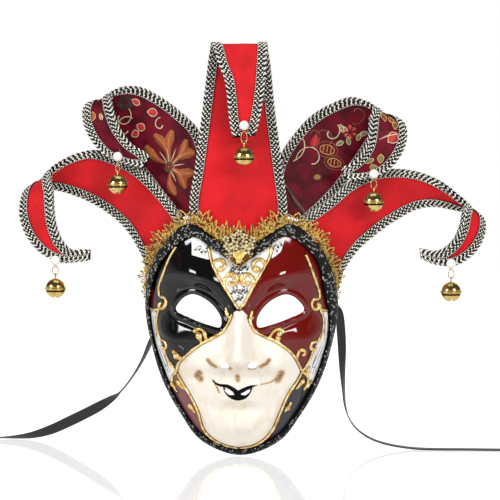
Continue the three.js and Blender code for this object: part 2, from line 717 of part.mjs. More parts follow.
// Each bell hangs from a wire link under a pearl that is sewn on the braid of the curled end, whose
// reverse face is the one in front
function makeBells(horns) {
  const bell = bellGeometry();
  BELLS.forEach((row, i) => {
    const horn = horns[row.horn];
    const proud = HORN_THICK / 2 + row.over + GAP + PEARL_RADIUS;
    const pearlAt = horn.point(row.section / horn.sections, row.across, -proud);
    const linkAt = pearlAt.clone();
    linkAt.z -= PEARL_RADIUS + GAP + LINK_WIRE + row.link / 2;
    const loopAt = linkAt.z - row.link / 2 - (BELL_LOOP_RADIUS - BELL_LOOP_WIRE - LINK_WIRE - GAP);
    const bellZ = loopAt - (BELL_RADIUS + BELL_LOOP_RADIUS - BELL_LOOP_WIRE / 2);
    addPiece(`pearl_${i + 1}`, new THREE.IcosahedronGeometry(PEARL_RADIUS, 1), FINISHES.pearl)
      .position.copy(pearlAt);
    addPiece(`bell_link_${i + 1}`, linkGeometry(row.link), FINISHES.brass).position.copy(linkAt);
    addPiece(`bell_${i + 1}`, bell.clone(), FINISHES.brass).position.set(pearlAt.x, pearlAt.y, bellZ);
  });
}

function makeRibbons() {
  for (const [name, rows] of Object.entries(RIBBONS)) {
    const table = tableRows(RIBBON_COLUMNS, rows);
    const route = new THREE.CatmullRomCurve3(
      table.map((row) => new THREE.Vector3(row.x, row.y, row.z)), false, "centripetal");
    const turns = new THREE.CatmullRomCurve3(table.map((row) => new THREE.Vector3(row.turn, 0, 0)));
    const rings = [];
    for (let i = 0; i <= RIBBON_STEPS; i++) {
      const t = i / RIBBON_STEPS;
      const point = route.getPoint(t);
      const along = route.getTangent(t);
      const sight = new THREE.Vector3(0, 1, 0).addScaledVector(along, -along.y).normalize();
      const turn = THREE.MathUtils.degToRad(turns.getPoint(t).x);
      const wide = sight.applyAxisAngle(along, turn).multiplyScalar(RIBBON_WIDTH / 2);
      const thick = along.clone().cross(wide).normalize().multiplyScalar(RIBBON_THICK / 2);
      const corner = (w, h) => point.clone().addScaledVector(wide, w).addScaledVector(thick, h);
      rings.push([corner(-1, 1), corner(1, 1), corner(1, -1), corner(-1, -1)]);
    }
    addPiece(name, loft(rings, stripCaps(4)), FINISHES.ribbon);
  }
}

makeShell();
makeRimBraid();
makeLace();
makeMedallion();
makeBells(makeHorns());
makeRibbons();

export default mask;
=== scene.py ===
# %% [markdown]
# # A jester carnival mask
#
# The mask is a moulded, lacquered face with five curled horns. Its edges are covered in braid and gold lace,
# and a bell hangs from every horn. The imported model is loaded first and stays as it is: it gives the sizes,
# and each piece made here takes the place of its plain solid. The tables below repeat the part's own tables,
# in millimetres, so that both models follow the same curves. Only the inner edge of the braid round the face
# and the ends of the lace differ a little, to be closer to the picture.

import math

import bpy
import numpy as np
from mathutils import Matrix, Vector


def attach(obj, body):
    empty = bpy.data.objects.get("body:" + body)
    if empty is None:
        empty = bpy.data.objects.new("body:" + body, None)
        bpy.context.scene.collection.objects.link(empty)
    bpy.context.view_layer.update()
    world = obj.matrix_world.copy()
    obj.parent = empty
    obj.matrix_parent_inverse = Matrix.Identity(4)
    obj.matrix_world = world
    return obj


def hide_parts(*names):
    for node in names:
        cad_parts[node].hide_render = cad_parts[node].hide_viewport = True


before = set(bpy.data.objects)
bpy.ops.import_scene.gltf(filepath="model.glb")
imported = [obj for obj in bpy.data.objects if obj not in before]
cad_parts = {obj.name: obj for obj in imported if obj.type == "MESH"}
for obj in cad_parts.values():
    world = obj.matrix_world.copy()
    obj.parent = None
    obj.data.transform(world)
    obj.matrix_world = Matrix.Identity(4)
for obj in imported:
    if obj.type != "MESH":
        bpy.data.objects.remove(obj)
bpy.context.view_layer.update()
MM = 0.001
FLOOR_Z = -130.4
print("nodes in the frame:", len(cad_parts))

# %% [markdown]
# ## Camera
#
# The picture was taken with a long lens from a little above and to the right of the mask. The camera stands
# 1.46 m from the middle of the mask, and the focal length follows from the mask's size in the picture.

# %% Camera
CAMERA_AT = (59.9, -1497.1, 133.1)
CAMERA_TARGET = (9.0, -40.0, 56.7)
CAMERA_SENSOR = 36.0
CAMERA_LENS = 116.8

camera_data = bpy.data.cameras.new("camera")
camera_data.sensor_width = CAMERA_SENSOR
camera_data.lens = CAMERA_LENS
camera = bpy.data.objects.new("camera", camera_data)
bpy.context.scene.collection.objects.link(camera)
camera.location = Vector(CAMERA_AT) * MM
line_of_sight = (Vector(CAMERA_TARGET) - Vector(CAMERA_AT)) * MM
camera.rotation_euler = line_of_sight.to_track_quat("-Z", "Y").to_euler()
bpy.context.scene.camera = camera
print("camera distance in metres:", round(line_of_sight.length, 3))

# %% [markdown]
# ## Curves and meshes
#
# Everything on the mask follows a smooth curve through a few measured points. The curve is a centripetal
# Catmull-Rom spline, which passes through its points without loops, and numpy works out thousands of its
# points at once.

# %% Curve helpers
FINE_STEPS = 40


def smooth_curve(points, shares, closed=False):
    """Points of the spline at shares of its table, 0 at the first row and 1 at the last."""
    points = np.asarray(points, float)
    bands = len(points) if closed else len(points) - 1
    place = np.asarray(shares, float) * bands
    row = np.clip(np.floor(place).astype(int), 0, bands - 1)
    weight = (place - row)[:, None]
    if closed:
        p0, p1, p2, p3 = (points[(row + k) % len(points)] for k in (-1, 0, 1, 2))
    else:
        padded = np.vstack([2 * points[0] - points[1], points, 2 * points[-1] - points[-2]])
        p0, p1, p2, p3 = (padded[row + k] for k in range(4))
    d0, d1, d2 = (knot_step(a, b) for a, b in ((p0, p1), (p1, p2), (p2, p3)))
    slope1 = ((p1 - p0) / d0 - (p2 - p0) / (d0 + d1) + (p2 - p1) / d1) * d1
    slope2 = ((p2 - p1) / d1 - (p3 - p1) / (d1 + d2) + (p3 - p2) / d2) * d1
    square = 3 * (p2 - p1) - 2 * slope1 - slope2
    cube = 2 * (p1 - p2) + slope1 + slope2
    return p1 + weight * (slope1 + weight * (square + weight * cube))


def knot_step(a, b):
    return np.maximum(np.sum((b - a) ** 2, axis=1), 1e-12)[:, None] ** 0.25


def walked_length(points):
    steps = np.linalg.norm(np.diff(points, axis=0), axis=1)
    return np.concatenate([[0.0], np.cumsum(steps)])


def read_along(wanted, keys, columns):
    """Reads a table of points at the wanted places between its keys."""
    return np.stack([np.interp(wanted, keys, column) for column in columns.T], axis=-1)


def even_curve(points, count, closed=False):
    """Evenly spaced points along the spline."""
    fine = smooth_curve(points, np.linspace(0, 1, FINE_STEPS * len(points) + 1), closed)
    walked = walked_length(fine)
    return read_along(np.linspace(0, walked[-1], count), walked, fine)


def unit(vectors):
    return vectors / np.maximum(np.linalg.norm(vectors, axis=-1, keepdims=True), 1e-9)


def square_to(ahead, vectors):
    """The directions of vectors, turned square to the directions ahead."""
    return unit(vectors - np.sum(vectors * ahead, axis=1)[:, None] * ahead)


def full_turn(count):
    return np.linspace(0, 2 * math.pi, count, endpoint=False)


# %% Mesh helpers
ATTRIBUTE_FIELDS = {"FLOAT": "value", "FLOAT_VECTOR": "vector", "FLOAT_COLOR": "color"}


def store(mesh, name, values, kind="FLOAT"):
    layer = mesh.attributes.new(name, kind, "POINT")
    layer.data.foreach_set(ATTRIBUTE_FIELDS[kind], np.asarray(values, np.float32).ravel())


def make_piece(name, points, faces, materials, smooth=True):
    """A mesh object from points in millimetres. Its place is in the mesh, and it stays at the origin."""
    mesh = bpy.data.meshes.new(name)
    mesh.from_pydata((np.asarray(points) * MM).tolist(), [], [tuple(face) for face in faces])
    mesh.update()
    for material in materials:
        mesh.materials.append(material)
    mesh.shade_smooth() if smooth else mesh.shade_flat()
    piece = bpy.data.objects.new(name, mesh)
    bpy.context.scene.collection.objects.link(piece)
    return piece


def grid_faces(rows, columns, close_rows=False, close_columns=False, start=0):
    """Four-sided faces over a grid of points that is stored row by row."""
    row = np.arange(rows if close_rows else rows - 1)
    column = np.arange(columns if close_columns else columns - 1)
    i, k = (part.ravel() for part in np.meshgrid(row, column, indexing="ij"))
    next_i, next_k = (i + 1) % rows, (k + 1) % columns
    corners = [i * columns + k, i * columns + next_k, next_i * columns + next_k, next_i * columns + k]
    return np.stack(corners, axis=1) + start


def outward_faces(points, faces):
    """The same faces, turned round if the closed mesh is inside out."""
    a, b, c = (points[faces[:, k]] for k in range(3))
    volume = np.einsum("ij,ij->", a, np.cross(b, c))
    if faces.shape[1] == 4:
        d = points[faces[:, 3]]
        volume += np.einsum("ij,ij->", a, np.cross(c, d))
    return faces if volume > 0 else faces[:, ::-1]


# %% Strips, tubes and joined parts
def strip_mesh(front, back):
    """A closed strip between two grids of points with the same rows and columns."""
    rows, columns = front.shape[:2]
    rings = np.concatenate([front, back[:, ::-1]], axis=1)
    count = 2 * columns
    sides = grid_faces(rows, count, close_columns=True)
    k = np.arange(columns - 1)
    first = np.stack([k, count - 1 - k, count - 2 - k, k + 1], axis=1)
    last = first[:, ::-1] + (rows - 1) * count
    points = rings.reshape(-1, 3)
    return points, outward_faces(points, np.concatenate([sides, first, last]))


def tube_mesh(path, radii, sides, guide, squash=1.0):
    """A tube along a path, with pointed or blunt ends given by the radii. It is squashed along the guide."""
    ahead = unit(np.gradient(path, axis=0))
    over = square_to(ahead, guide)
    beside = np.cross(ahead, over)
    turn = full_turn(sides)[None, :, None]
    ring = np.cos(turn) * beside[:, None] + squash * np.sin(turn) * over[:, None]
    points = (path[:, None] + ring * np.asarray(radii)[:, None, None]).reshape(-1, 3)
    sides_faces = grid_faces(len(path), sides, close_columns=True)
    ends = np.vstack([path[:1], path[-1:]])
    k = np.arange(sides)
    tip = len(points)
    first = np.stack([np.full(sides, tip), (k + 1) % sides, k], axis=1)
    tail = (len(path) - 1) * sides
    last = np.stack([np.full(sides, tip + 1), tail + k, tail + (k + 1) % sides], axis=1)
    points = np.vstack([points, ends])
    faces = [tuple(face) for face in sides_faces] + [tuple(face) for face in np.vstack([first, last])]
    triangles = np.vstack([sides_faces[:, :3], sides_faces[:, [0, 2, 3]], first, last])
    if outward_faces(points, triangles) is not triangles:
        faces = [face[::-1] for face in faces]
    return points, faces


def join_parts(parts):
    """One list of points and faces from several."""
    points = []
    faces = []
    start = 0
    for part_points, part_faces in parts:
        points.append(part_points)
        faces.extend(tuple(int(i) + start for i in face) for face in part_faces)
        start += len(part_points)
    return np.vstack(points), faces


# %% [markdown]
# ## Shader helpers
#
# Materials are built from nodes. A short helper makes a node and fills its sockets: a socket of another node
# is linked, and a plain value is set. Two effects are used by several materials, so they are node groups:
# grain, a soft variation that is also given spread out to its full range, and thread, the colour and the
# fine fibres of a spun yarn.


# %% Node helpers
def node(tree, kind, inputs=None, **settings):
    made = tree.nodes.new(kind)
    for key, value in settings.items():
        setattr(made, key, value)
    for key, value in (inputs or {}).items():
        if isinstance(value, bpy.types.NodeSocket):
            tree.links.new(value, made.inputs[key])
        else:
            made.inputs[key].default_value = value
    return made


def calc(tree, operation, a, b=0.0):
    return node(tree, "ShaderNodeMath", {0: a, 1: b}, operation=operation).outputs[0]


def mix(tree, share, a, b, blend="MIX"):
    made = node(tree, "ShaderNodeMix", {0: share, 6: a, 7: b}, data_type="RGBA", blend_type=blend)
    return made.outputs[2]


def ramp(tree, value, low, high, to_low=0.0, to_high=1.0):
    inputs = {0: value, 1: low, 2: high, 3: to_low, 4: to_high}
    return node(tree, "ShaderNodeMapRange", inputs, interpolation_type="SMOOTHSTEP").outputs[0]


def attribute(tree, name, output="Fac"):
    return node(tree, "ShaderNodeAttribute", attribute_name=name).outputs[output]


def rgb(red, green, blue):
    """A colour as read on a screen, 0 to 255, in the linear values that shaders use."""
    shares = np.array([red, green, blue]) / 255
    linear = np.where(shares <= 0.04045, shares / 12.92, ((shares + 0.055) / 1.055) ** 2.4)
    return (*linear.tolist(), 1.0)


def new_material(name, **constants):
    """A material with its Principled shader, whose sockets get the constants by name."""
    material = bpy.data.materials.new(name)
    material.use_nodes = True
    shader = material.node_tree.nodes["Principled BSDF"]
    for key, value in constants.items():
        shader.inputs[key.replace("_", " ").title().replace("Ior", "IOR")].default_value = value
    return material, material.node_tree, shader


def bump(tree, shader, height, strength, distance):
    inputs = {"Height": height, "Strength": strength, "Distance": distance}
    tree.links.new(node(tree, "ShaderNodeBump", inputs).outputs[0], shader.inputs["Normal"])


def new_group(name, inputs, outputs):
    group = bpy.data.node_groups.new(name, "ShaderNodeTree")
    for label, kind, value in inputs:
        socket = group.interface.new_socket(name=label, in_out="INPUT", socket_type=kind)
        if value is not None:
            socket.default_value = value
    for label, kind in outputs:
        group.interface.new_socket(name=label, in_out="OUTPUT", socket_type=kind)
    return group, node(group, "NodeGroupInput"), node(group, "NodeGroupOutput")


# %% Shared effects
grain_group, grain_in, grain_out = new_group(
    "grain",
    [
        ("Place", "NodeSocketVector", None),
        ("Size", "NodeSocketFloat", 1.0),
        ("Detail", "NodeSocketFloat", 4.0),
    ],
    [("Value", "NodeSocketFloat"), ("Spread", "NodeSocketFloat")],
)
grain_scale = calc(grain_group, "DIVIDE", 1.0, grain_in.outputs["Size"])
grain_noise = node(grain_group, "ShaderNodeTexNoise", {
    "Vector": grain_in.outputs["Place"],
    "Scale": calc(grain_group, "MULTIPLY", grain_scale, 1000.0),
    "Detail": grain_in.outputs["Detail"],
})
grain_group.links.new(grain_noise.outputs["Fac"], grain_out.inputs["Value"])
grain_spread = ramp(grain_group, grain_noise.outputs["Fac"], 0.35, 0.65)
grain_group.links.new(grain_spread, grain_out.inputs["Spread"])


def object_place(tree):
    return node(tree, "ShaderNodeTexCoord").outputs["Object"]


def grain(tree, size, detail=4.0, place=None, output="Value"):
    """Noise whose features are about size millimetres across."""
    inputs = {"Place": place or object_place(tree), "Size": size, "Detail": detail}
    return node(tree, "ShaderNodeGroup", inputs, node_tree=grain_group).outputs[output]


thread_group, thread_in, thread_out = new_group(
    "thread",
    [("Dark", "NodeSocketColor", None), ("Light", "NodeSocketColor", None),
    ("Tone", "NodeSocketFloat", 0.0)],
    [("Color", "NodeSocketColor"), ("Height", "NodeSocketFloat")],
)
thread_place = object_place(thread_group)
thread_fibre = grain(thread_group, 0.5, 2.0, thread_place)
thread_soil = grain(thread_group, 9.0, 3.0, thread_place, "Spread")
thread_colour = mix(thread_group, *(thread_in.outputs[label] for label in ("Tone", "Dark", "Light")))
thread_shade = ramp(thread_group, thread_fibre, 0.3, 0.7, 0.62, 1.12)
thread_shade = calc(thread_group, "MULTIPLY", thread_shade, ramp(thread_group, thread_soil, 0, 1, 0.86, 1.0))
thread_grey = node(thread_group, "ShaderNodeCombineColor", {k: thread_shade for k in range(3)})
thread_result = mix(thread_group, 1.0, thread_colour, thread_grey.outputs[0], "MULTIPLY")
thread_group.links.new(thread_result, thread_out.inputs["Color"])
thread_group.links.new(thread_fibre, thread_out.inputs["Height"])


def thread_material(name, dark, light, gloss, **constants):
    """Spun yarn between two colours, chosen stitch by stitch by the attribute stitch_tone."""
    material, tree, shader = new_material(name, **constants)
    shader.inputs["Specular IOR Level"].default_value = gloss
    inputs = {"Dark": dark, "Light": light, "Tone": attribute(tree, "stitch_tone")}
    yarn = node(tree, "ShaderNodeGroup", inputs, node_tree=thread_group)
    tree.links.new(yarn.outputs["Color"], shader.inputs["Base Color"])
    bump(tree, shader, yarn.outputs["Height"], 0.5, 0.0004)
    return material


print("shared effects:", grain_group.name, thread_group.name)

# %% [markdown]
# ## Ties
#
# Two black satin ribbons are fixed inside the temples and lie out over the floor. A ribbon could be a curve
# with a flat profile, but its twist has to follow the picture, so it is a strip mesh: each row of the table
# is a point of its middle and the turn of its width.

# %% Ribbon material
ribbon_satin, tree, shader = new_material("ribbon_satin", roughness=0.5)
ribbon_lines = node(tree, "ShaderNodeTexWave", {
    "Vector": node(tree, "ShaderNodeUVMap").outputs[0],
    "Scale": 260.0,
    "Distortion": 0.6,
}, wave_type="BANDS", bands_direction="X")
ribbon_shade = ramp(tree, ribbon_lines.outputs["Fac"], 0.0, 1.0, 0.0, 0.7)
ribbon_colour = mix(tree, ribbon_shade, rgb(13, 13, 14), rgb(34, 34, 36))
tree.links.new(ribbon_colour, shader.inputs["Base Color"])
bump(tree, shader, ribbon_lines.outputs["Fac"], 0.35, 0.0002)
print("material:", ribbon_satin.name)

# %% Ribbons
RIBBON_WIDTH = 10.0
RIBBON_THICK = 0.7
RIBBON_STEPS = 160
RIBBON_COLUMNS = 7
RIBBONS = {
    "ribbon_left": [
        (-80.9, -7, 14, 0), (-81.4, -5, 2, 0), (-80, 3, -14, 0), (-82.5, 6.8, -24, 10),
        (-86.2, 8, -33, 20), (-92.5, 10, -47.4, 12), (-102.9, 14, -64.9, 6), (-113.8, 18, -78.7, 5),
        (-123.6, 21, -86.8, 35), (-139.5, 26, -97.1, 70), (-163.3, 32, -109.7, 80),
        (-185.1, 36, -120, 65), (-203, 39, -125.6, 42), (-218.6, 40, -127.6, 25), (-234, 40, -128.3, 14),
        (-241.8, 40, -128.3, 14),
    ],
    "ribbon_right": [
        (79.2, -7, 24, 0), (80.5, -5, 14, 0), (85, 5, 5, 15), (90.1, 7, -3.3, 38), (92, 9, -20.3, 52),
        (93, 9, -37.1, 48), (93.5, 8, -57.6, 30), (94.5, 6, -76, 14), (95.9, 4, -89.8, 8),
        (99.6, 2, -101.6, 0), (107, 1, -111.7, 0), (119, 0, -119.9, 0), (132.9, -1, -124.8, 0),
        (149.5, -1, -127.9, 0), (165.3, -1, -129.4, 0), (184.6, -2, -129.6, 0), (206.7, -2, -129.6, 0),
        (238.8, -3, -129.6, 0), (246.2, -3, -129.6, 0),
    ],
}


def ribbon_sides(path, turns):
    """The directions of the ribbon's width: straight back at no turn, and across the view at 90 degrees."""
    ahead = unit(np.gradient(path, axis=0))
    back = np.tile([0.0, 1.0, 0.0], (len(path), 1))
    sight = square_to(ahead, back)
    angle = np.radians(turns)[:, None]
    wide = sight * np.cos(angle) + np.cross(ahead, sight) * np.sin(angle)
    return wide, unit(np.cross(ahead, wide))


for name, rows in RIBBONS.items():
    rows = np.array(rows, float)
    shares = np.linspace(0, 1, RIBBON_STEPS)
    path = smooth_curve(rows[:, :3], shares)
    turns = smooth_curve(rows[:, 3:], shares)[:, 0]
    wide, thick = ribbon_sides(path, turns)
    across = np.linspace(-RIBBON_WIDTH / 2, RIBBON_WIDTH / 2, RIBBON_COLUMNS)
    middle = path[:, None] + wide[:, None] * across[None, :, None]
    lift = thick[:, None] * RIBBON_THICK / 2
    points, faces = strip_mesh(middle + lift, middle - lift)
    ribbon = make_piece(f"{name}_satin", points, faces, [ribbon_satin])
    walked = walked_length(path)
    chart = ribbon.data.uv_layers.new(name="UVMap")
    vertex_of = np.empty(len(ribbon.data.loops), int)
    ribbon.data.loops.foreach_get("vertex_index", vertex_of)
    row_of, column_of = np.divmod(vertex_of, 2 * RIBBON_COLUMNS)
    chart_points = np.stack([walked[row_of] * MM, column_of * MM], axis=1)
    chart.data.foreach_set("uv", chart_points.ravel().astype(np.float32))
    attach(ribbon, "root")
    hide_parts(name)
    print(name, "length in mm:", round(float(walked[-1])))

# %% [markdown]
# ## The face
#
# The shell is a thin moulded wall. Its edge is one closed curve, and its front rises from that edge like a
# dome, with the nose, brows, cheeks, lips and chin added as smooth rises and hollows. Because the height is a
# plain formula of the place, a fine polar grid gives the whole face, and the same formula later tells every
# piped line and every braid where the surface is.

# %% Tables of the face
SHELL_WALL = 2.0
HUB_Z = -30.0
DOME_POWER = 2.6
FACE_DEPTH = 62.0
FACE_BEND_X = 450.0
FACE_BEND_Z = 900.0
FACE_MIDDLE_Z = -10.0
EDGE_HALF = [
    (0, -57, 56), (23, -53.5, 66), (45, -46, 78), (65, -34, 63), (80, -16, 38), (86, -3, 3),
    (80, -2, -33), (69.5, -10, -64), (52, -22.5, -93.5), (33.6, -31.5, -115.5), (0, -37, -127),
]
NOSE_Z = [-56, -50, -45, -38, -25, -8, 8, 22]
NOSE_RISE = [0, 6, 17, 23, 17, 9, 2, 0]
NOSE_BROAD = [18, 18, 17, 14, 9.5, 7.5, 7, 7]
BROW_X = [0, 8, 22, 33, 45, 58, 72]
BROW_Z = [4, 11, 25, 32, 36, 37, 33]
BROW_RISE = [0, 2, 5, 6.5, 6.5, 5, 1.5]
BROW_ABOVE = 18.0
BROW_BELOW = 6.5
RELIEF = [
    ("forehead", 41, 40, 32, 28, 5),
    ("lid", 40, 21, 18, 7, -3),
    ("eye socket", 37, 3, 22, 13, -5),
    ("cheekbone", 70, -27, 22, 15, 10),
    ("smiling cheek", 36, -43, 14, 11, 4.5),
    ("nose wing", 18.5, -42.5, 6, 6, 7),
    ("muzzle", 0, -67, 24, 12, 5),
    ("upper lip", 8, -63, 10, 4, 2),
    ("lower lip", 0, -77, 12, 4, 3),
    ("under lip", 0, -86, 18, 5, -4),
    ("chin", 0, -103, 20, 13, 8),
    ("dimple", 37, -56, 5, 5, -2.5),
]
EYE_HOLE = [
    (57.5, 3), (51, 13.5), (42, 17.5), (31, 14), (21.5, 6), (16, -4), (17, -11), (27, -9.5), (44, -4),
]
MOUTH_HOLE = [(3, -70.8), (7, -68.8), (11.5, -66.8), (10, -69.8), (6.5, -72)]
MOUTH_MIDDLE_X = -1.5
NOSTRIL = {"x": 12, "z": -44.5, "half_width": 3.8, "half_height": 2.7, "corners": 32}

edge_rows = np.array(EDGE_HALF + [(-x, y, z) for x, y, z in EDGE_HALF[-2:0:-1]], float)
EDGE_POINTS = even_curve(edge_rows, 4001, closed=True)
EDGE_SHARE = np.linspace(0, 1, len(EDGE_POINTS))
EDGE_LENGTH = walked_length(EDGE_POINTS)[-1]
EDGE_TURN = np.unwrap(np.arctan2(EDGE_POINTS[:, 0], EDGE_POINTS[:, 2] - HUB_Z))
print("length of the shell's edge in mm:", round(EDGE_LENGTH))


# %% Tables, outlines and distances
def table_curve(at, keys, values):
    """A cubic through a table's values, with central slopes and flat ends."""
    keys = np.asarray(keys, float)
    values = np.asarray(values, float)
    slopes = np.empty_like(values)
    slopes[1:-1] = (values[2:] - values[:-2]) / (keys[2:] - keys[:-2])
    slopes[0] = (values[1] - values[0]) / (keys[1] - keys[0])
    slopes[-1] = (values[-1] - values[-2]) / (keys[-1] - keys[-2])
    at = np.clip(at, keys[0], keys[-1])
    i = np.clip(np.searchsorted(keys, at, side="right") - 1, 0, len(keys) - 2)
    span = keys[i + 1] - keys[i]
    t = (at - keys[i]) / span
    start = values[i] + slopes[i] * span * t * (1 - t) ** 2
    rise = (values[i + 1] - values[i]) * t * t * (3 - 2 * t)
    return start + rise - slopes[i + 1] * span * t * t * (1 - t)


def closed_outline(corners, count=96):
    corners = np.array([(x, 0.0, z) for x, z in corners])
    return even_curve(corners, count + 1, closed=True)[:-1][:, [0, 2]]


def line_distance(x, z, line, closed=False):
    """How far each place is from a line of points in the plane of x and z."""
    line = np.asarray(line, float)
    ends = np.roll(line, -1, axis=0) if closed else line[1:]
    starts = line if closed else line[:-1]
    nearest = np.full(np.shape(x), 1e9)
    for (ax, az), (bx, bz) in zip(starts, ends):
        dx, dz = bx - ax, bz - az
        share = np.clip(((x - ax) * dx + (z - az) * dz) / max(dx * dx + dz * dz, 1e-9), 0, 1)
        nearest = np.minimum(nearest, np.hypot(x - ax - share * dx, z - az - share * dz))
    return nearest


def inside_depth(x, z, outline):
    """Distance to an outline: above zero inside it, and below zero outside."""
    outline = np.asarray(outline, float)
    crossings = np.zeros(np.shape(x), int)
    for (ax, az), (bx, bz) in zip(outline, np.roll(outline, -1, axis=0)):
        spans = (az > z) != (bz > z)
        rise = bz - az if abs(bz - az) > 1e-9 else 1e-9
        crossings += spans & (x < ax + (z - az) / rise * (bx - ax))
    distance = line_distance(x, z, outline, closed=True)
    return np.where(crossings % 2 == 1, distance, -distance)


# %% Rises and hollows of the face
EYE_OUTLINES = [closed_outline([(side * x, z) for x, z in EYE_HOLE]) for side in (-1, 1)]
LID_RIM = {"away": 2.6, "wide": 1.6, "rise": 1.6}
LID_CREASE = {"away": 6.5, "wide": 2.0, "rise": -0.8}


def relief(x, z):
    broad = table_curve(z, NOSE_Z, NOSE_BROAD)
    rise = table_curve(z, NOSE_Z, NOSE_RISE) * np.exp(-((x / broad) ** 2))
    for _, row_x, row_z, wide, tall, row_rise in RELIEF:
        rise = rise + row_rise * np.exp(-(((np.abs(x) - row_x) / wide) ** 2) - ((z - row_z) / tall) ** 2)
    above_brow = z - table_curve(np.abs(x), BROW_X, BROW_Z)
    slope = np.where(above_brow > 0, BROW_ABOVE, BROW_BELOW)
    rise = rise + table_curve(np.abs(x), BROW_X, BROW_RISE) * np.exp(-((above_brow / slope) ** 2))
    for outline in EYE_OUTLINES:
        away = line_distance(x, z, outline, closed=True)
        for fold in (LID_RIM, LID_CREASE):
            rise = rise + fold["rise"] * np.exp(-(((away - fold["away"]) / fold["wide"]) ** 2))
    return rise


# %% The face's formula
def edge_at(along):
    return read_along(np.mod(along, 1.0), EDGE_SHARE, EDGE_POINTS)


def face_depth(x, z, out, edge_y):
    middle = FACE_DEPTH - x**2 / FACE_BEND_X - (z - FACE_MIDDLE_Z) ** 2 / FACE_BEND_Z
    dome = np.sqrt(np.maximum(0, 1 - out**DOME_POWER))
    return edge_y - (middle + edge_y) * dome - relief(x, z) * (1 - out**6)


def face_point(along, out):
    """A point of the face: along is a share of the edge's length, out runs from the hub to the edge."""
    edge = edge_at(along)
    x = out * edge[..., 0]
    z = HUB_Z + out * (edge[..., 2] - HUB_Z)
    return np.stack([x, face_depth(x, z, out, edge[..., 1]), z], axis=-1)


def face_normal(along, out):
    small = 0.002
    inside = np.maximum(out, 0.02)
    outward = face_point(along, inside) - face_point(along, inside - small)
    outward[out > 0.9999] = (0, 1, 0)
    around = face_point(along + small, inside) - face_point(along - small, inside)
    return unit(np.cross(around, outward))


def face_under(x, z):
    """The face's y at places given by x and z."""
    turn = np.mod(np.arctan2(x, z - HUB_Z), 2 * math.pi)
    edge = edge_at(np.interp(turn, EDGE_TURN, EDGE_SHARE))
    reach = np.hypot(edge[..., 0], edge[..., 2] - HUB_Z)
    out = np.minimum(np.hypot(x, z - HUB_Z) / reach, 1.0)
    return face_depth(x, z, out, edge[..., 1])


def face_frame(x, z):
    """Points of the face and their outward normals, at places given by x and z."""
    small = 0.4
    slope_x = (face_under(x + small, z) - face_under(x - small, z)) / (2 * small)
    slope_z = (face_under(x, z + small) - face_under(x, z - small)) / (2 * small)
    normal = unit(np.stack([slope_x, -np.ones_like(slope_x), slope_z], axis=-1))
    return np.stack([x, face_under(x, z), z], axis=-1), normal


nose_tip_y = face_under(np.zeros(len(NOSE_Z)), np.array(NOSE_Z, float)).min()
print("tip of the nose, y in mm:", round(float(nose_tip_y), 1))

# %% Shell mesh
SHELL_COLUMNS = 288
OUTER_RINGS = 110
INNER_RINGS = 44
STEEPEST_FACING = 0.55
RIM_DRAWN_IN = 8


def ring_shares(rings):
    share = np.arange(1, rings + 1) / rings
    return 0.4 * share + 0.6 * np.sin(share * math.pi / 2)


def shell_grid(rings, wall):
    """Rings of points on the front, or behind it by the wall's thickness.

    The back lies straight behind the front, and only at the rim it is drawn in from the edge. So the two
    never cross, not even in the creases.
    """
    out, along = (part.ravel() for part in np.meshgrid(
        ring_shares(rings), np.arange(SHELL_COLUMNS) / SHELL_COLUMNS, indexing="ij"))
    points = face_point(along, out)
    facing = -face_normal(along, out)[:, 1]
    behind = wall / np.clip(facing, STEEPEST_FACING, 1)
    at_rim = (out**RIM_DRAWN_IN)[:, None]
    spoke = unit((points - [0, 0, HUB_Z]) * [1, 0, 1])
    return points + np.outer(behind, [0, 1, 0]) * (1 - at_rim) - spoke * wall * at_rim


def hub_fan(start, first_ring):
    k = np.arange(SHELL_COLUMNS)
    return [(start, first_ring + j, first_ring + i) for i, j in zip(k, np.roll(k, -1))]


hub = np.array([[0.0, float(face_under(np.array(0.0), np.array(HUB_Z))), HUB_Z]])
outer = np.vstack([hub, shell_grid(OUTER_RINGS, 0.0)])
inner = np.vstack([hub + [[0, SHELL_WALL, 0]], shell_grid(INNER_RINGS, SHELL_WALL)])
second = len(outer)
shell_faces = [tuple(face) for face in grid_faces(OUTER_RINGS, SHELL_COLUMNS, close_columns=True, start=1)]
shell_faces += hub_fan(0, 1)
inner_faces = [tuple(face) for face in
               grid_faces(INNER_RINGS, SHELL_COLUMNS, close_columns=True, start=second + 1)]
shell_faces += [face[::-1] for face in inner_faces + hub_fan(second, second + 1)]
outer_rim = 1 + (OUTER_RINGS - 1) * SHELL_COLUMNS
inner_rim = second + 1 + (INNER_RINGS - 1) * SHELL_COLUMNS
for k in range(SHELL_COLUMNS):
    j = (k + 1) % SHELL_COLUMNS
    shell_faces.append((outer_rim + k, outer_rim + j, inner_rim + j, inner_rim + k))
shell_points = np.vstack([outer, inner])
print("shell faces before the holes are cut:", len(shell_faces))

# %% [markdown]
# ## Paint on the face
#
# The left half of the upper face is black and the right half dark red, the lower face is cream, and the
# forehead and the sides have panels of old sheet music. Gold lines cover every border. Each colour is an
# outline in the plane of the picture. The depth of each vertex inside an outline is stored as an attribute,
# because a distance, unlike a mask, stays sharp between vertices when the shader cuts it off.

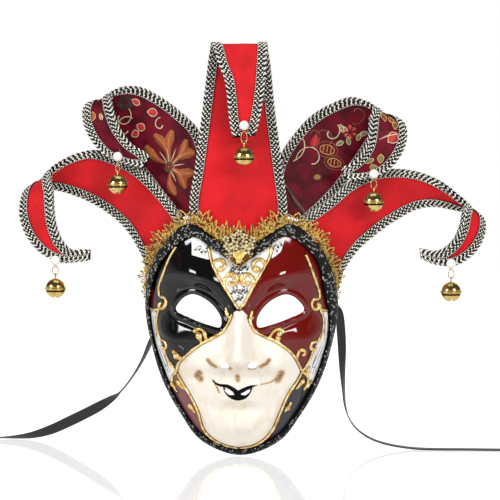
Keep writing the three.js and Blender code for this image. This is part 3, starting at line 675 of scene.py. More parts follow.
# %% Outlines of the paint
GOLD_LINES = {
    "forehead left": [(-27.5, 60), (-24.5, 47.5), (-18.5, 34), (-10, 20), (-0.5, 5)],
    "forehead right": [(29.5, 59), (27, 51), (22.5, 42), (13, 25.5), (5, 10.5), (0.5, 5)],
    "nose left": [
        (-6, 1.5), (-9, -6.5), (-15, -15), (-24, -21), (-34, -26.5), (-44.5, -34.5), (-52, -41.5),
        (-56, -47), (-57.5, -54.5),
    ],
    "nose right": [
        (8.5, -2), (10.5, -8), (15, -14.5), (22, -19), (30, -22.5), (38, -27.5), (46, -34),
        (51.5, -42.5), (56, -53),
    ],
    "jaw left": [
        (-57.5, -54.5), (-53.5, -61.5), (-45, -75), (-38, -89.5), (-33.5, -105.5), (-26.5, -114),
        (-15, -120.5), (-1, -123.5),
    ],
    "jaw right": [
        (56, -53), (52, -61), (43.5, -73.5), (36, -91), (30, -105), (23.5, -113.5), (13, -120.5),
        (-1, -123.5),
    ],
    "temple left": [(-57, 60), (-63.5, 49.5), (-69.5, 35), (-74, 22.5), (-73.5, 13.5)],
    "temple right": [(59, 53.5), (64, 40.5), (68.5, 27.5), (71.5, 17.5), (71.5, 12)],
    "side left": [(-74, 2.5), (-76.5, -7), (-75.5, -17.5), (-71.5, -27)],
    "side right": [(72, 3), (75, -6), (74, -18.5), (68.5, -28)],
    "cheek left": [(-69.5, -33), (-65.5, -43.5), (-60.5, -50.5), (-57.5, -54.5)],
    "cheek right": [(66, -33), (62.5, -42.5), (58.5, -49.5), (56, -53)],
    "strip top left": [(-74, 2.5), (-79, 1), (-85, 1.5)],
    "strip top right": [(72, 3), (78, 1), (85, 1.5)],
    "panel end left": [(-57.5, -54.5), (-62, -59.5), (-61, -68), (-57, -73.5)],
    "panel end right": [(56, -53), (60.5, -58), (60.5, -65.5), (57, -71)],
}
CREAM = (GOLD_LINES["nose left"] + GOLD_LINES["jaw left"][1:] + GOLD_LINES["jaw right"][-2:0:-1]
         + GOLD_LINES["nose right"][::-1] + [(1, 5)])
FOREHEAD_PANEL = GOLD_LINES["forehead left"] + GOLD_LINES["forehead right"][::-1] + [(20, 70), (-20, 70)]
PAPER = [
    FOREHEAD_PANEL,
    [(-43, 74), (-24.5, 63), (-27, 49), (-42.5, 53)],
    [(28, 60), (35, 76), (42, 72), (37, 56), (29, 50)],
    [(-86, 0), (-74, 1), (-76.5, -13), (-73.5, -26), (-65.5, -43.5), (-58.5, -55), (-63, -66), (-75.5, -56),
     (-88, -29)],
    [(73, 3), (86, 0), (86, -24), (76, -48), (66, -69), (61.5, -61), (57.5, -53), (64, -40), (70.5, -25.5),
     (75, -12.5)],
]
TEMPLE_PATCH = [(85, 28), (79.5, 20), (79.5, 5), (89, 0)]
LOWER_PATCH = [
    (58, -54), (53, -62), (44.5, -75.5), (37, -91), (32, -106), (24, -120), (46, -114), (63, -92),
    (73, -68), (61, -60.5),
]
print("gold lines:", len(GOLD_LINES), "paper panels:", len(PAPER))

# %% Lips and smudges
LIP_STEPS = 40
LIP_LINES = [
    ([(-25.5, -57.5), (-22, -61), (-17.5, -63), (-10.5, -63.6), (-5.5, -66.2), (-1, -69.3), (3.5, -67.2),
      (9.5, -64.2), (15, -63), (19, -62.5)],
     [0.4, 1.0, 1.3, 1.7, 2.0, 2.2, 2.0, 1.6, 0.9, 0.3]),
    ([(-13.5, -65.5), (-11.5, -69.5), (-7, -73.2), (-1, -74.3), (5, -73.2), (9, -69.5), (11, -65.5)],
     [0.9, 1.4, 2.0, 2.5, 2.0, 1.4, 0.9]),
    ([(-4, -68.5), (-1, -71.5), (2, -68.8)], [1.6, 2.4, 1.6]),
]
SMUDGES = [
    [(-28, -40), (-25.5, -43), (-20.5, -45.5)],
    [(27, -40), (24.5, -43), (19.5, -45)],
    [(-1.5, -54.5), (-1, -58)],
    [(-36, -53), (-38.5, -56), (-35, -58.5)],
    [(37.5, -53), (36, -56), (34.5, -59)],
    [(-9, -45), (-7, -47)],
    [(10, -46.5), (14, -46)],
    [(-23, -59), (-20, -65), (-18, -70)],
    [(19, -62.5), (27.5, -61), (33, -58)],
]
SMUDGE_SIZES = [2.1, 2.0, 2.3, 3.3, 3.5, 1.8, 2.1, 0.9, 0.7]
print("lip lines:", len(LIP_LINES), "smudges:", len(SMUDGES))


# %% Cut the eyes, mouth and nostrils
CUT_FROM_Y = -130.0
CUT_TO_Y = 20.0


def hole_cutter(outline):
    """A prism that runs right through the face."""
    x, z = outline.T
    if np.sum(x * np.roll(z, -1) - z * np.roll(x, -1)) < 0:
        outline = outline[::-1]
    count = len(outline)
    front = np.stack([outline[:, 0], np.full(count, CUT_FROM_Y), outline[:, 1]], axis=1)
    back = front + [0, CUT_TO_Y - CUT_FROM_Y, 0]
    k = np.arange(count)
    j = np.roll(k, -1)
    sides = [(a, a + count, b + count, b) for a, b in zip(k, j)]
    return np.vstack([front, back]), sides + [tuple(k), tuple(k[::-1] + count)]


def mouth_outline(side):
    return closed_outline([(side * x + MOUTH_MIDDLE_X, z) for x, z in MOUTH_HOLE], 40)


def nostril_outline(side):
    turn = full_turn(NOSTRIL["corners"])
    x = side * NOSTRIL["x"] + NOSTRIL["half_width"] * np.cos(turn)
    return np.stack([x, NOSTRIL["z"] + NOSTRIL["half_height"] * np.sin(turn)], axis=1)


def apply_modifiers(piece):
    """Replaces the piece's mesh by what its modifiers give."""
    depsgraph = bpy.context.evaluated_depsgraph_get()
    made = bpy.data.meshes.new_from_object(piece.evaluated_get(depsgraph), preserve_all_data_layers=True,
                                           depsgraph=depsgraph)
    piece.modifiers.clear()
    piece.data = made


def triangle_count(piece):
    return sum(len(face.vertices) - 2 for face in piece.data.polygons)


def cut_holes(piece, cutter_parts):
    cutter = make_piece("hole_cutter", *join_parts(cutter_parts), [])
    cut = piece.modifiers.new("holes", "BOOLEAN")
    cut.object = cutter
    cut.operation = "DIFFERENCE"
    cut.solver = "EXACT"
    apply_modifiers(piece)
    bpy.data.objects.remove(cutter)


def smooth_line(points, count=60):
    return even_curve(np.array([(x, 0.0, z) for x, z in points], float), count)[:, [0, 2]]


# %% Cut the shell
shell_piece = make_piece("face_shell", shell_points, shell_faces, [])
outlines = EYE_OUTLINES + [shape(side) for shape in (mouth_outline, nostril_outline) for side in (-1, 1)]
cut_holes(shell_piece, [hole_cutter(outline) for outline in outlines])
for outline in outlines:
    middle = Vector((*np.mean(outline, axis=0), 0)).xzy * MM
    start = middle + Vector((0, CUT_FROM_Y, 0)) * MM
    print("hole at", np.round(np.mean(outline, axis=0)).tolist(), "open:",
          not shell_piece.ray_cast(start, (0, 1, 0))[0])
print("shell triangles:", triangle_count(shell_piece))

# %% Paint attributes
CREAM_STEPS = 400


def mesh_points(piece):
    """The places of a piece's vertices in millimetres."""
    places = np.empty(3 * len(piece.data.vertices))
    piece.data.vertices.foreach_get("co", places)
    return places.reshape(-1, 3) / MM


vertex_places = mesh_points(shell_piece)
face_x, face_y, face_z = vertex_places.T
cream_depth = inside_depth(face_x, face_z, smooth_line(CREAM + CREAM[:1], CREAM_STEPS)[:-1])
paper_depth = np.max([inside_depth(face_x, face_z, outline) for outline in PAPER], axis=0)
patch_depth = {side: [inside_depth(side * face_x, face_z, outline) for outline in (TEMPLE_PATCH, LOWER_PATCH)]
               for side in (-1, 1)}
red_depth = np.minimum(face_x, -np.max(patch_depth[1], axis=0))
red_depth = np.maximum(red_depth, patch_depth[-1][0])
gold_paths = {name: smooth_line(line) for name, line in GOLD_LINES.items()}
gold_away = np.min([line_distance(face_x, face_z, path) for path in gold_paths.values()], axis=0)


def lip_depth(x, z):
    deepest = np.full(np.shape(x), -9.0)
    shares = np.linspace(0, 1, LIP_STEPS)
    for corners, half_widths in LIP_LINES:
        path = smooth_line(corners, LIP_STEPS)
        wide = np.interp(shares, np.linspace(0, 1, len(half_widths)), half_widths)
        away = np.hypot(x[:, None] - path[None, :, 0], z[:, None] - path[None, :, 1])
        deepest = np.maximum(deepest, np.max(wide[None] - away, axis=1))
    return deepest


def smudge_strength(x, z):
    strength = np.zeros(np.shape(x))
    for line, size in zip(SMUDGES, SMUDGE_SIZES):
        strength = np.maximum(strength, np.exp(-((line_distance(x, z, line) / size) ** 2)))
    return strength


face_layers = {
    "cream_depth": cream_depth,
    "paper_depth": paper_depth,
    "red_depth": red_depth,
    "mauve_depth": patch_depth[-1][1],
    "gold_away": gold_away,
    "lip_depth": lip_depth(face_x, face_z),
    "smudge": smudge_strength(face_x, face_z),
    "inside_wall": (face_y > face_under(face_x, face_z) + SHELL_WALL / 2).astype(float),
}
for name, values in face_layers.items():
    store(shell_piece.data, name, values)
print("layers stored on the face:", *face_layers)
shell_piece.data.shade_smooth()
shell_piece.data.set_sharp_from_angle(angle=math.radians(38))

# %% Lacquer
face_lacquer, tree, shader = new_material("face_lacquer")


def cut_off(tree, name, soft=0.35):
    """A sharp mask from a stored depth."""
    return ramp(tree, attribute(tree, name), -soft, soft)


cream_mask = cut_off(tree, "cream_depth")
paper_mask = cut_off(tree, "paper_depth")
lip_mask = cut_off(tree, "lip_depth", 0.25)
inside_mask = attribute(tree, "inside_wall")
brush_place = node(tree, "ShaderNodeMapping", {"Vector": object_place(tree), "Scale": (1.0, 1.0, 0.16)})
brush = grain(tree, 4.0, 4.0, brush_place.outputs[0], "Spread")
cloud = grain(tree, 22.0, 3.0, None, "Spread")
right_side = node(tree, "ShaderNodeSeparateXYZ", {"Vector": object_place(tree)}).outputs["X"]
# Right of x = 20 mm the black lacquer is painted lighter grey: a painted reflection of the floor.
black_with_painted_reflection = mix(tree, ramp(tree, right_side, 0.02, 0.022), rgb(9, 8, 9), rgb(50, 49, 53))
black_red = mix(tree, cut_off(tree, "red_depth"), black_with_painted_reflection, rgb(104, 13, 9))
colour = mix(tree, cut_off(tree, "mauve_depth"), black_red, rgb(128, 76, 78))
old_paper = mix(tree, brush, rgb(252, 252, 252), rgb(234, 231, 226))
colour = mix(tree, paper_mask, colour, old_paper)
warm_cream = mix(tree, calc(tree, "MULTIPLY", brush, cloud), rgb(240, 233, 221), rgb(231, 218, 197))
colour = mix(tree, cream_mask, colour, warm_cream)
smudge_grain = ramp(tree, grain(tree, 1.6), 0.35, 0.62, 0.35, 1.0)
smudge_edge = ramp(tree, attribute(tree, "smudge"), 0.04, 0.7, 0.0, 0.75)
smudge_core = ramp(tree, attribute(tree, "smudge"), 0.3, 1.0, 0.0, 0.9)
colour = mix(tree, smudge_edge, colour, rgb(208, 160, 92))
colour = mix(tree, calc(tree, "MULTIPLY", smudge_core, smudge_grain), colour, rgb(104, 56, 14))
pale_mask = calc(tree, "MAXIMUM", cream_mask, paper_mask)
glaze = calc(tree, "MULTIPLY", ramp(tree, attribute(tree, "gold_away"), 6.0, 1.2, 0.0, 0.35), pale_mask)
colour = mix(tree, calc(tree, "MULTIPLY", glaze, cloud), colour, rgb(176, 126, 62))
outline_mask = ramp(tree, attribute(tree, "gold_away"), 1.9, 1.2, 0.0, 0.95)
colour = mix(tree, outline_mask, colour, rgb(26, 16, 10))
colour = mix(tree, lip_mask, colour, rgb(10, 10, 11))
colour = mix(tree, inside_mask, colour, mix(tree, cloud, rgb(232, 228, 218), rgb(214, 207, 192)))
tree.links.new(colour, shader.inputs["Base Color"])
# %% Gloss of the lacquer
gloss = ramp(tree, pale_mask, 0.0, 1.0, 0.06, 0.3)
gloss = calc(tree, "ADD", gloss, calc(tree, "MULTIPLY", brush, 0.05))
gloss = calc(tree, "MAXIMUM", gloss, calc(tree, "MULTIPLY", inside_mask, 0.7))
tree.links.new(gloss, shader.inputs["Roughness"])
tree.links.new(ramp(tree, lip_mask, 0.0, 1.0, 0.5, 0.06), shader.inputs["Specular IOR Level"])
uneven = calc(tree, "ADD", grain(tree, 6.0, 2.0), calc(tree, "MULTIPLY", brush, 0.15))
bump(tree, shader, uneven, 0.05, 0.0012)
shell_piece.data.materials.clear()
shell_piece.data.materials.append(face_lacquer)
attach(shell_piece, "root")
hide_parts("mask_shell")
print("painted vertices:", len(vertex_places))

# %% [markdown]
# ## Piped gold
#
# The gold lines on the face are thick paint squeezed from a nozzle: half-round, uneven, with curls that end
# in a bead. Each one is a tube that follows the face and is half sunk in it. The radius along the tube makes
# the difference between a line, a curl and a leaf.

# %% Piped lines, curls and leaves
LINE_RADIUS = 1.3
PIPE_SQUASH = 0.85
PIPE_LIFT = 0.25
PIPE_SUNK = 1.3
PIPE_STEP = 0.7
PIPE_SIDES = 10
PIPE_WOBBLE = 0.18
CURLS = [
    (2.2, [(-13.5, 26), (-12, 33), (-7.5, 36.5), (-2.8, 33.5), (-3.2, 28.5), (-7, 27.5), (-8.6, 30.5)]),
    (2.2, [(13.5, 26), (12, 33.5), (7.5, 36.5), (3.2, 33.5), (3.6, 28.5), (7.4, 27.5), (8.8, 30.5)]),
    (2.1, [(-24, 45.5), (-20.5, 48.5), (-15.5, 48.5), (-13, 44.5), (-15.5, 40.5), (-19, 42)]),
    (2.1, [(23.5, 44.5), (20.5, 49), (15, 48.5), (12.5, 44.5), (15, 40.5), (18.5, 42)]),
    (1.9, [(28, 54), (28, 60), (24.5, 62.5), (21.5, 59.5), (23.5, 56.5)]),
    (1.75, [(-28, -24.5), (-30, -20.5), (-31.2, -16.2), (-34.5, -13.4), (-39, -14.4), (-40.2, -17)]),
    (1.75, [(26, -22.8), (28.3, -18.2), (31.5, -14.4), (35.5, -13.2), (38.6, -15.2), (38, -17.4)]),
    (1.6, [(-73.5, 13.5), (-68.5, 13), (-67, 8), (-71, 3), (-74, 5), (-71.5, 8.5)]),
    (1.6, [(71.5, 12), (66, 12), (64.5, 7), (67.5, 3), (71, 5), (69, 9)]),
    (1.6, [(-72.5, -25), (-68, -26.5), (-66.5, -31), (-70, -33.5), (-71.5, -30.5)]),
    (1.6, [(69.5, -26), (65, -26.5), (63.5, -31), (67, -33.5), (68.5, -31)]),
    (1.6, [(51.5, -42.5), (52, -36.5), (54.5, -32.5), (58, -33.5), (58, -37), (55.5, -37)]),
]
LEAVES = [
    (2.6, [(-39.5, -15.5), (-36, -19), (-33.5, -27)]),
    (2.4, [(38.5, -16), (34.8, -18.2), (34.8, -26)]),
    (2.6, [(-61, -33), (-57, -37), (-51, -43)]),
    (1.9, [(-11.8, 7), (-11, 2.5), (-8.6, -4)]),
    (1.7, [(12, 4), (10.6, -1), (11.2, -7.5)]),
    (2.3, [(-64.5, -44), (-61.5, -49), (-58, -55)]),
    (2.5, [(-57.5, -61), (-54, -65.5), (-49.5, -70)]),
    (2.3, [(-64, -62), (-61.2, -66.5), (-58.2, -72)]),
    (2.2, [(-47, -82), (-44, -86), (-40, -91.5)]),
    (2.2, [(63, -48.5), (60.2, -54.5), (61.5, -62)]),
    (2.4, [(57.5, -60), (54, -64.5), (50, -69.5)]),
    (2.3, [(65, -62.5), (60.5, -66.5), (57, -71)]),
    (2.2, [(46.5, -80.5), (43.8, -84.5), (40, -90)]),
]
print("curls:", len(CURLS), "leaves:", len(LEAVES))

# %% Pipe the gold
rng = np.random.default_rng(7)


def rounded_ends(share, start, end):
    """Rounds a tube's ends over a part of its length at each side."""
    near = np.clip(share / start, 0, 1)
    far = np.clip((1 - share) / end, 0, 1)
    return np.sqrt(np.clip(1 - (1 - near) ** 2, 0.02, 1)) * np.sqrt(np.clip(1 - (1 - far) ** 2, 0.02, 1))


def piped(corners, profile):
    """A tube over the face along a smooth line, with radii from its share of the length."""
    corners = np.array([(x, 0.0, z) for x, z in corners], float)
    length = walked_length(corners)[-1]
    count = max(10, int(length / PIPE_STEP))
    line = even_curve(corners, count)
    share = np.linspace(0, 1, count)
    points, normals = face_frame(line[:, 0], line[:, 2])
    knots = count // 4 + 2
    wobble = 1 + PIPE_WOBBLE * np.interp(share, np.linspace(0, 1, knots), rng.normal(size=knots))
    radii = profile(share) * np.clip(wobble, 0.75, 1.3)
    lift = np.maximum(PIPE_LIFT, radii * PIPE_SQUASH - PIPE_SUNK)
    return tube_mesh(points + normals * lift[:, None], radii, PIPE_SIDES, normals, PIPE_SQUASH)


pipe_parts = []
for line in GOLD_LINES.values():
    pipe_parts.append(piped(line, lambda s: LINE_RADIUS * rounded_ends(s, 0.05, 0.05)))
for radius, corners in CURLS:
    pipe_parts.append(piped(corners, lambda s, r=radius: r * (0.7 + 0.55 * s) * rounded_ends(s, 0.05, 0.1)))
for radius, corners in LEAVES:
    pipe_parts.append(piped(corners, lambda s, r=radius: r * np.sin(math.pi * s**0.75) ** 0.7 + 0.1))
pipe_points, pipe_faces = join_parts(pipe_parts)

# %% Piped gold material
piped_gold, tree, shader = new_material("piped_gold", roughness=0.34)
gold_height = ramp(tree, attribute(tree, "pipe_height"), 0.15, 1.15)
gold_cloud = grain(tree, 5.0, 3.0, None, "Spread")
bright_gold = mix(tree, gold_cloud, rgb(255, 232, 168), rgb(230, 182, 98))
# The foot of each tube, low over the face, is painted dark brown: painted shade where the tube meets the
# face, together with patina.
gold_colour = mix(tree, gold_height, rgb(74, 40, 11), bright_gold)
tree.links.new(gold_colour, shader.inputs["Base Color"])
tree.links.new(ramp(tree, gold_height, 0.0, 1.0, 0.3, 0.85), shader.inputs["Metallic"])
bump(tree, shader, grain(tree, 1.4, 3.0), 0.5, 0.0006)

pipe_piece = make_piece("piped_gold_scrolls", pipe_points, pipe_faces, [piped_gold])
pipe_height = face_under(pipe_points[:, 0], pipe_points[:, 2]) - pipe_points[:, 1]
store(pipe_piece.data, "pipe_height", pipe_height)
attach(pipe_piece, "root")
print("piped lines:", len(pipe_parts), "faces:", len(pipe_faces))

# %% [markdown]
# ## Laying stitches
#
# Braid, lace and filigree are thousands of short twists of thread. They are not drawn one by one: a mesh
# holds one loose vertex for each stitch, with attributes for its direction, its outward side, its size and
# its tone. A Geometry Nodes tree puts a small rounded bead on each of these vertices and keeps the faces of
# the base under them. The instances are realized, so that the result is a plain mesh.


# %% The lay stitches tree
def named_attribute(tree, name, kind):
    return node(tree, "GeometryNodeInputNamedAttribute", {"Name": name}, data_type=kind).outputs["Attribute"]


def build_stitch_tree():
    tree = bpy.data.node_groups.new("lay_stitches", "GeometryNodeTree")
    sockets = {"Base And Stitches": "Geometry", "Sides": "Int", "Rings": "Int", "Thread": "Material"}
    for label, kind in sockets.items():
        tree.interface.new_socket(name=label, in_out="INPUT", socket_type=f"NodeSocket{kind}")
    tree.interface.new_socket(name="Piece", in_out="OUTPUT", socket_type="NodeSocketGeometry")
    given = node(tree, "NodeGroupInput").outputs
    size = named_attribute(tree, "stitch_size", "FLOAT_VECTOR")
    length = node(tree, "ShaderNodeVectorMath", {0: size}, operation="LENGTH").outputs["Value"]
    is_stitch = node(tree, "FunctionNodeCompare", {0: length, 1: 1e-7}, data_type="FLOAT",
                     operation="GREATER_THAN").outputs[0]
    split = node(tree, "GeometryNodeSeparateGeometry",
                 {"Geometry": given["Base And Stitches"], "Selection": is_stitch}, domain="POINT").outputs
    bead = node(tree, "GeometryNodeMeshUVSphere",
                {"Segments": given["Sides"], "Rings": given["Rings"], "Radius": 1.0}).outputs["Mesh"]
    turn = node(tree, "FunctionNodeAxesToRotation", {
        "Primary Axis": named_attribute(tree, "stitch_along", "FLOAT_VECTOR"),
        "Secondary Axis": named_attribute(tree, "stitch_up", "FLOAT_VECTOR"),
    }, primary_axis="Z", secondary_axis="Y").outputs[0]
    beads = node(tree, "GeometryNodeInstanceOnPoints", {
        "Points": split["Selection"], "Instance": bead, "Rotation": turn, "Scale": size,
    }).outputs[0]
    beads = node(tree, "GeometryNodeRealizeInstances", {0: beads}).outputs[0]
    beads = node(tree, "GeometryNodeSetShadeSmooth", {"Geometry": beads}).outputs[0]
    beads = node(tree, "GeometryNodeSetMaterial", {"Geometry": beads, "Material": given["Thread"]}).outputs[0]
    joined = node(tree, "GeometryNodeJoinGeometry")
    tree.links.new(split["Inverted"], joined.inputs[0])
    tree.links.new(beads, joined.inputs[0])
    node(tree, "NodeGroupOutput", {"Piece": joined.outputs[0]})
    return tree


stitch_tree = build_stitch_tree()
STITCH_INPUTS = {item.name: item.identifier for item in stitch_tree.interface.items_tree
                 if item.in_out == "INPUT"}
print("inputs of the stitch tree:", *STITCH_INPUTS)


# %% Stitches and stitched pieces
class Stitches:
    """Stitches that wait to be laid: places, directions, outward sides, half sizes in mm and tones."""

    def __init__(self):
        self.rows = []

    def add(self, at, along, up, size, tone):
        count = len(at)
        self.rows.append((at, along, up, np.broadcast_to(size, (count, 3)), np.broadcast_to(tone, (count,))))

    def columns(self):
        return [np.concatenate(column) for column in zip(*self.rows)]


def stitched_piece(name, base, base_material, stitches, thread, sides, rings):
    """A piece made of a base mesh with stitches laid on it."""
    base_points, base_faces = base if base else (np.empty((0, 3)), [])
    at, along, up, size, tone = stitches.columns()
    bare = np.zeros((len(base_points), 3))
    piece = make_piece(name, np.vstack([base_points, at]), base_faces, [base_material] if base else [])
    store(piece.data, "stitch_along", np.vstack([bare + [0, 0, 1], along]), "FLOAT_VECTOR")
    store(piece.data, "stitch_up", np.vstack([bare + [0, -1, 0], up]), "FLOAT_VECTOR")
    store(piece.data, "stitch_size", np.vstack([bare, size * MM]), "FLOAT_VECTOR")
    store(piece.data, "stitch_tone", np.concatenate([bare[:, 0], tone]))
    laying = piece.modifiers.new("lay stitches", "NODES")
    laying.node_group = stitch_tree
    laying[STITCH_INPUTS["Sides"]] = sides
    laying[STITCH_INPUTS["Rings"]] = rings
    laying[STITCH_INPUTS["Thread"]] = thread
    apply_modifiers(piece)
    for spare in ("stitch_along", "stitch_up", "stitch_size"):
        piece.data.attributes.remove(piece.data.attributes[spare])
    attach(piece, "root")
    print(name, "stitches:", len(at), "triangles:", triangle_count(piece))
    return piece


# %% [markdown]
# ## Notes on the paper
#
# The paper panels are scraps of printed music. Staves are thin lines, and notes are small flat beads with
# stems, in a made-up order that is no tune. The scraps at the sides have three broader lines. All of it lies
# on the face as a layer of ink.


# %% Printed notes
def mottled(name, grain_of, one, other, **constants):
    """A material whose colour wanders between two. grain_of is what the grain effect is asked for."""
    material, tree, shader = new_material(name, **constants)
    tree.links.new(mix(tree, grain(tree, *grain_of), one, other), shader.inputs["Base Color"])
    return material, tree, shader


ink_black = mottled("ink_black", (1.0,), rgb(26, 24, 24), rgb(70, 64, 58), roughness=0.5)[0]
INK_LIFT = 0.08
STAVES = [((-8.5, 41.5), (8.5, 41.5), 9), ((-8.5, 36), (7.5, 36), 7), ((-7.5, 21), (8, 21), 10),
          ((-3.5, 14.5), (4, 14.5), 4), ((-40, 60), (-29, 54), 4), ((31, 56), (38, 64), 3)]
SIDE_STAVES = [((-80.5, -5), (-79, -28), 2), ((-76, -32), (-66, -56), 2), ((79.5, -5), (78.5, -26), 2),
               ((75, -32), (65, -57), 2)]
STAFF_SPACE = 0.95
STAFF_LINE = (0.17, 0.06, 0.7)
SIDE_SPACE = 2.3
SIDE_LINE = (0.32, 0.25, 0.7)
STAFF_LINES = 5
SIDE_LINES = 3
LINE_STEP = 1.2
NOTE_STEPS = [0, 2, 1, 3, 1, 0, 2, 3, 1, 2]
NOTE_HEAD = (0.9, 0.1, 1.15)
NOTE_STEM = (0.34, 0.08, 1.8)
STEM_AT = (0.75, 1.5)
BEAM_SIZE = (0.62, 0.08)
BEAM_AT = (0.65, 3.0)
print("staves:", len(STAVES) + len(SIDE_STAVES))


# %% Lay the notes
def left_of(direction):
    return np.array([-direction[1], direction[0]])


ink = Stitches()
ruled = [(row, STAFF_SPACE, STAFF_LINE, STAFF_LINES) for row in STAVES]
ruled += [(row, SIDE_SPACE, SIDE_LINE, SIDE_LINES) for row in SIDE_STAVES]
for (start, end, notes), space, line_size, lines in ruled:
    start, end = np.array(start), np.array(end)
    run = unit(end - start)
    rise = left_of(run)
    rise = rise if rise[1] >= 0 else -rise
    length = np.linalg.norm(end - start)
    note_gap = length / (notes + 0.2)
    marks = []
    for k in range(lines):
        for s in np.arange(LINE_STEP / 2, length, LINE_STEP):
            marks.append((start + run * s + rise * (k - (lines - 1) / 2) * space, run, line_size))
    for k in range(notes):
        step = NOTE_STEPS[k % len(NOTE_STEPS)]
        head = start + run * (k + 0.6) * note_gap + rise * (step - 2) * space
        marks.append((head, run, NOTE_HEAD))
        marks.append((head + run * STEM_AT[0] + rise * STEM_AT[1], rise, NOTE_STEM))
        if k % 2:
            beam_middle = head + run * (BEAM_AT[0] - note_gap / 2) + rise * BEAM_AT[1]
            marks.append((beam_middle, run, (*BEAM_SIZE, note_gap / 2)))
    places = np.array([mark[0] for mark in marks])
    runs = np.array([mark[1] for mark in marks])
    points, normals = face_frame(places[:, 0], places[:, 1])
    flat = np.stack([runs[:, 0], np.zeros(len(runs)), runs[:, 1]], axis=1)
    along = square_to(normals, flat)
    ink.add(points + normals * INK_LIFT, along, normals, np.array([mark[2] for mark in marks]), 0.0)
ink_piece = stitched_piece("printed_notes", None, None, ink, ink_black, sides=6, rings=3)

# %% [markdown]
# ## Horns
#
# A horn is a stiff strip covered in cloth on both sides. It rises from behind the rim, widens, and its end
# curls over to the front, so the curl shows the strip's other side. Rows of the table give the two edges of
# the strip from base to tip, and the last number of a row bows the broad middle horn forward.

# %% Tables of the horns
HORN_THICK = 2.0
GAP = 0.3
HORNS = {
    "horn_centre": [
        (-40, -39, 50, 40, -39, 50, 10), (-45, -40.6, 95, 42, -40.6, 95, 8),
        (-40, -43, 129, 38, -43, 129, 5), (-33, -44, 182, 31, -44, 182, 2),
        (-28, -45, 222, 27, -45, 222, 0), (-26, -48, 235, 25, -48, 235, 0),
        (-24.5, -55, 239.5, 24.5, -55, 239.5, 0), (-21.5, -62, 235.5, 24.5, -62, 235.5, 0),
        (-18, -66, 223.5, 24, -66, 223.5, 0), (-12, -67, 208, 23, -67, 208, 0),
        (-9.5, -67, 190, 21, -67, 190, 0), (-8, -66, 173, 18, -66, 173, 0),
        (-5, -64, 157, 14, -64, 159, 0),
    ],
    "horn_left_red": [
        (-51, -39, 82, -83, -7, 32, 0), (-61, -37, 97, -91, -11, 52, 0),
        (-74, -34, 113, -104, -15, 74, 0), (-91, -31, 129, -120, -18, 89, 0),
        (-111, -29, 140, -138, -20, 100, 0), (-132, -29, 146, -155, -20, 107, 0),
        (-150, -31, 142, -169, -20, 111, 0), (-163, -36, 134, -182, -22, 113, 0),
        (-170, -43, 127, -191, -29, 112, 0), (-169.5, -51, 119, -195, -39, 107, 0),
        (-167, -56, 110, -196.5, -46, 98, 0), (-166, -59, 98, -196, -51, 86, 0),
        (-164, -60, 82, -190, -55, 70, 0), (-158, -59, 66, -177, -58, 55, 0),
        (-149, -57, 57, -160, -58, 47, 0), (-141, -56, 57, -144, -57, 47.5, 0),
        (-133, -55, 57, -133, -56, 49, 0),
    ],
    "horn_right_red": [
        (53, -38, 82, 88, -0.5, 20, 0), (65, -36, 91, 93, -7, 36, 0), (81, -34, 103, 106, -15, 56, 0),
        (99, -31, 118, 124, -18, 72, 0), (119, -29, 127, 143, -20, 85, 0),
        (139, -29, 129, 161, -20, 94, 0), (160, -30, 126, 176, -20, 96, 0),
        (180, -33, 117, 192, -21, 94, 0), (193, -38, 106, 206, -24, 91, 0),
        (201, -44, 98, 217, -31, 85, 0), (199, -52, 91, 218.5, -40, 76, 0),
        (196, -57, 79, 215, -47, 65, 0), (190, -59, 67, 207, -52, 54, 0),
        (181, -59, 59, 192, -56, 45, 0), (172, -58, 56.5, 175, -57, 45.5, 0),
        (160, -56, 59, 161, -56, 51, 0),
    ],
    "horn_left_brocade": [
        (-31, -31.5, 91, -62, -28.4, 84, 0), (-29, -29, 121, -75, -22, 103, 0),
        (-38, -24, 163, -87, -18, 119, 0), (-55, -21, 181, -99, -14, 133, 0),
        (-74, -19, 195, -110, -12, 149, 0), (-92, -19, 203.5, -120, -11, 166, 0),
        (-107, -22, 203, -129.5, -13, 180, 0), (-117, -28, 196, -138, -19, 188, 0),
        (-116, -34, 187, -142, -27, 183, 0), (-112, -38, 174, -141, -33, 170, 0),
        (-106, -39, 162, -135, -36, 157, 0), (-97, -39, 151, -124, -38, 144, 0),
        (-87, -38, 145, -106, -38, 135, 0), (-81, -37, 140, -86, -38, 131, 0),
    ],
    "horn_right_brocade": [
        (29, -32, 91, 60, -29, 82, 0), (30, -29, 118, 77, -22, 97, 0), (36, -24, 141, 89, -18, 109, 0),
        (49, -21, 161, 98, -14, 121, 0), (65, -19, 178, 107, -12, 133, 0),
        (84, -19, 189, 116, -11, 147, 0), (101, -21, 194, 125, -13, 161, 0),
        (113, -25, 189, 135, -15, 173, 0), (120, -31, 183, 143, -21, 173, 0),
        (117, -36, 177, 148.5, -28, 166, 0), (116, -39, 166, 148, -34, 152, 0),
        (114, -40, 154, 142, -37, 139, 0), (108, -39, 142, 133, -38, 129, 0),
        (99, -38, 134, 118, -38, 122, 0), (90, -37, 130, 94, -38, 120, 0),
    ],
}


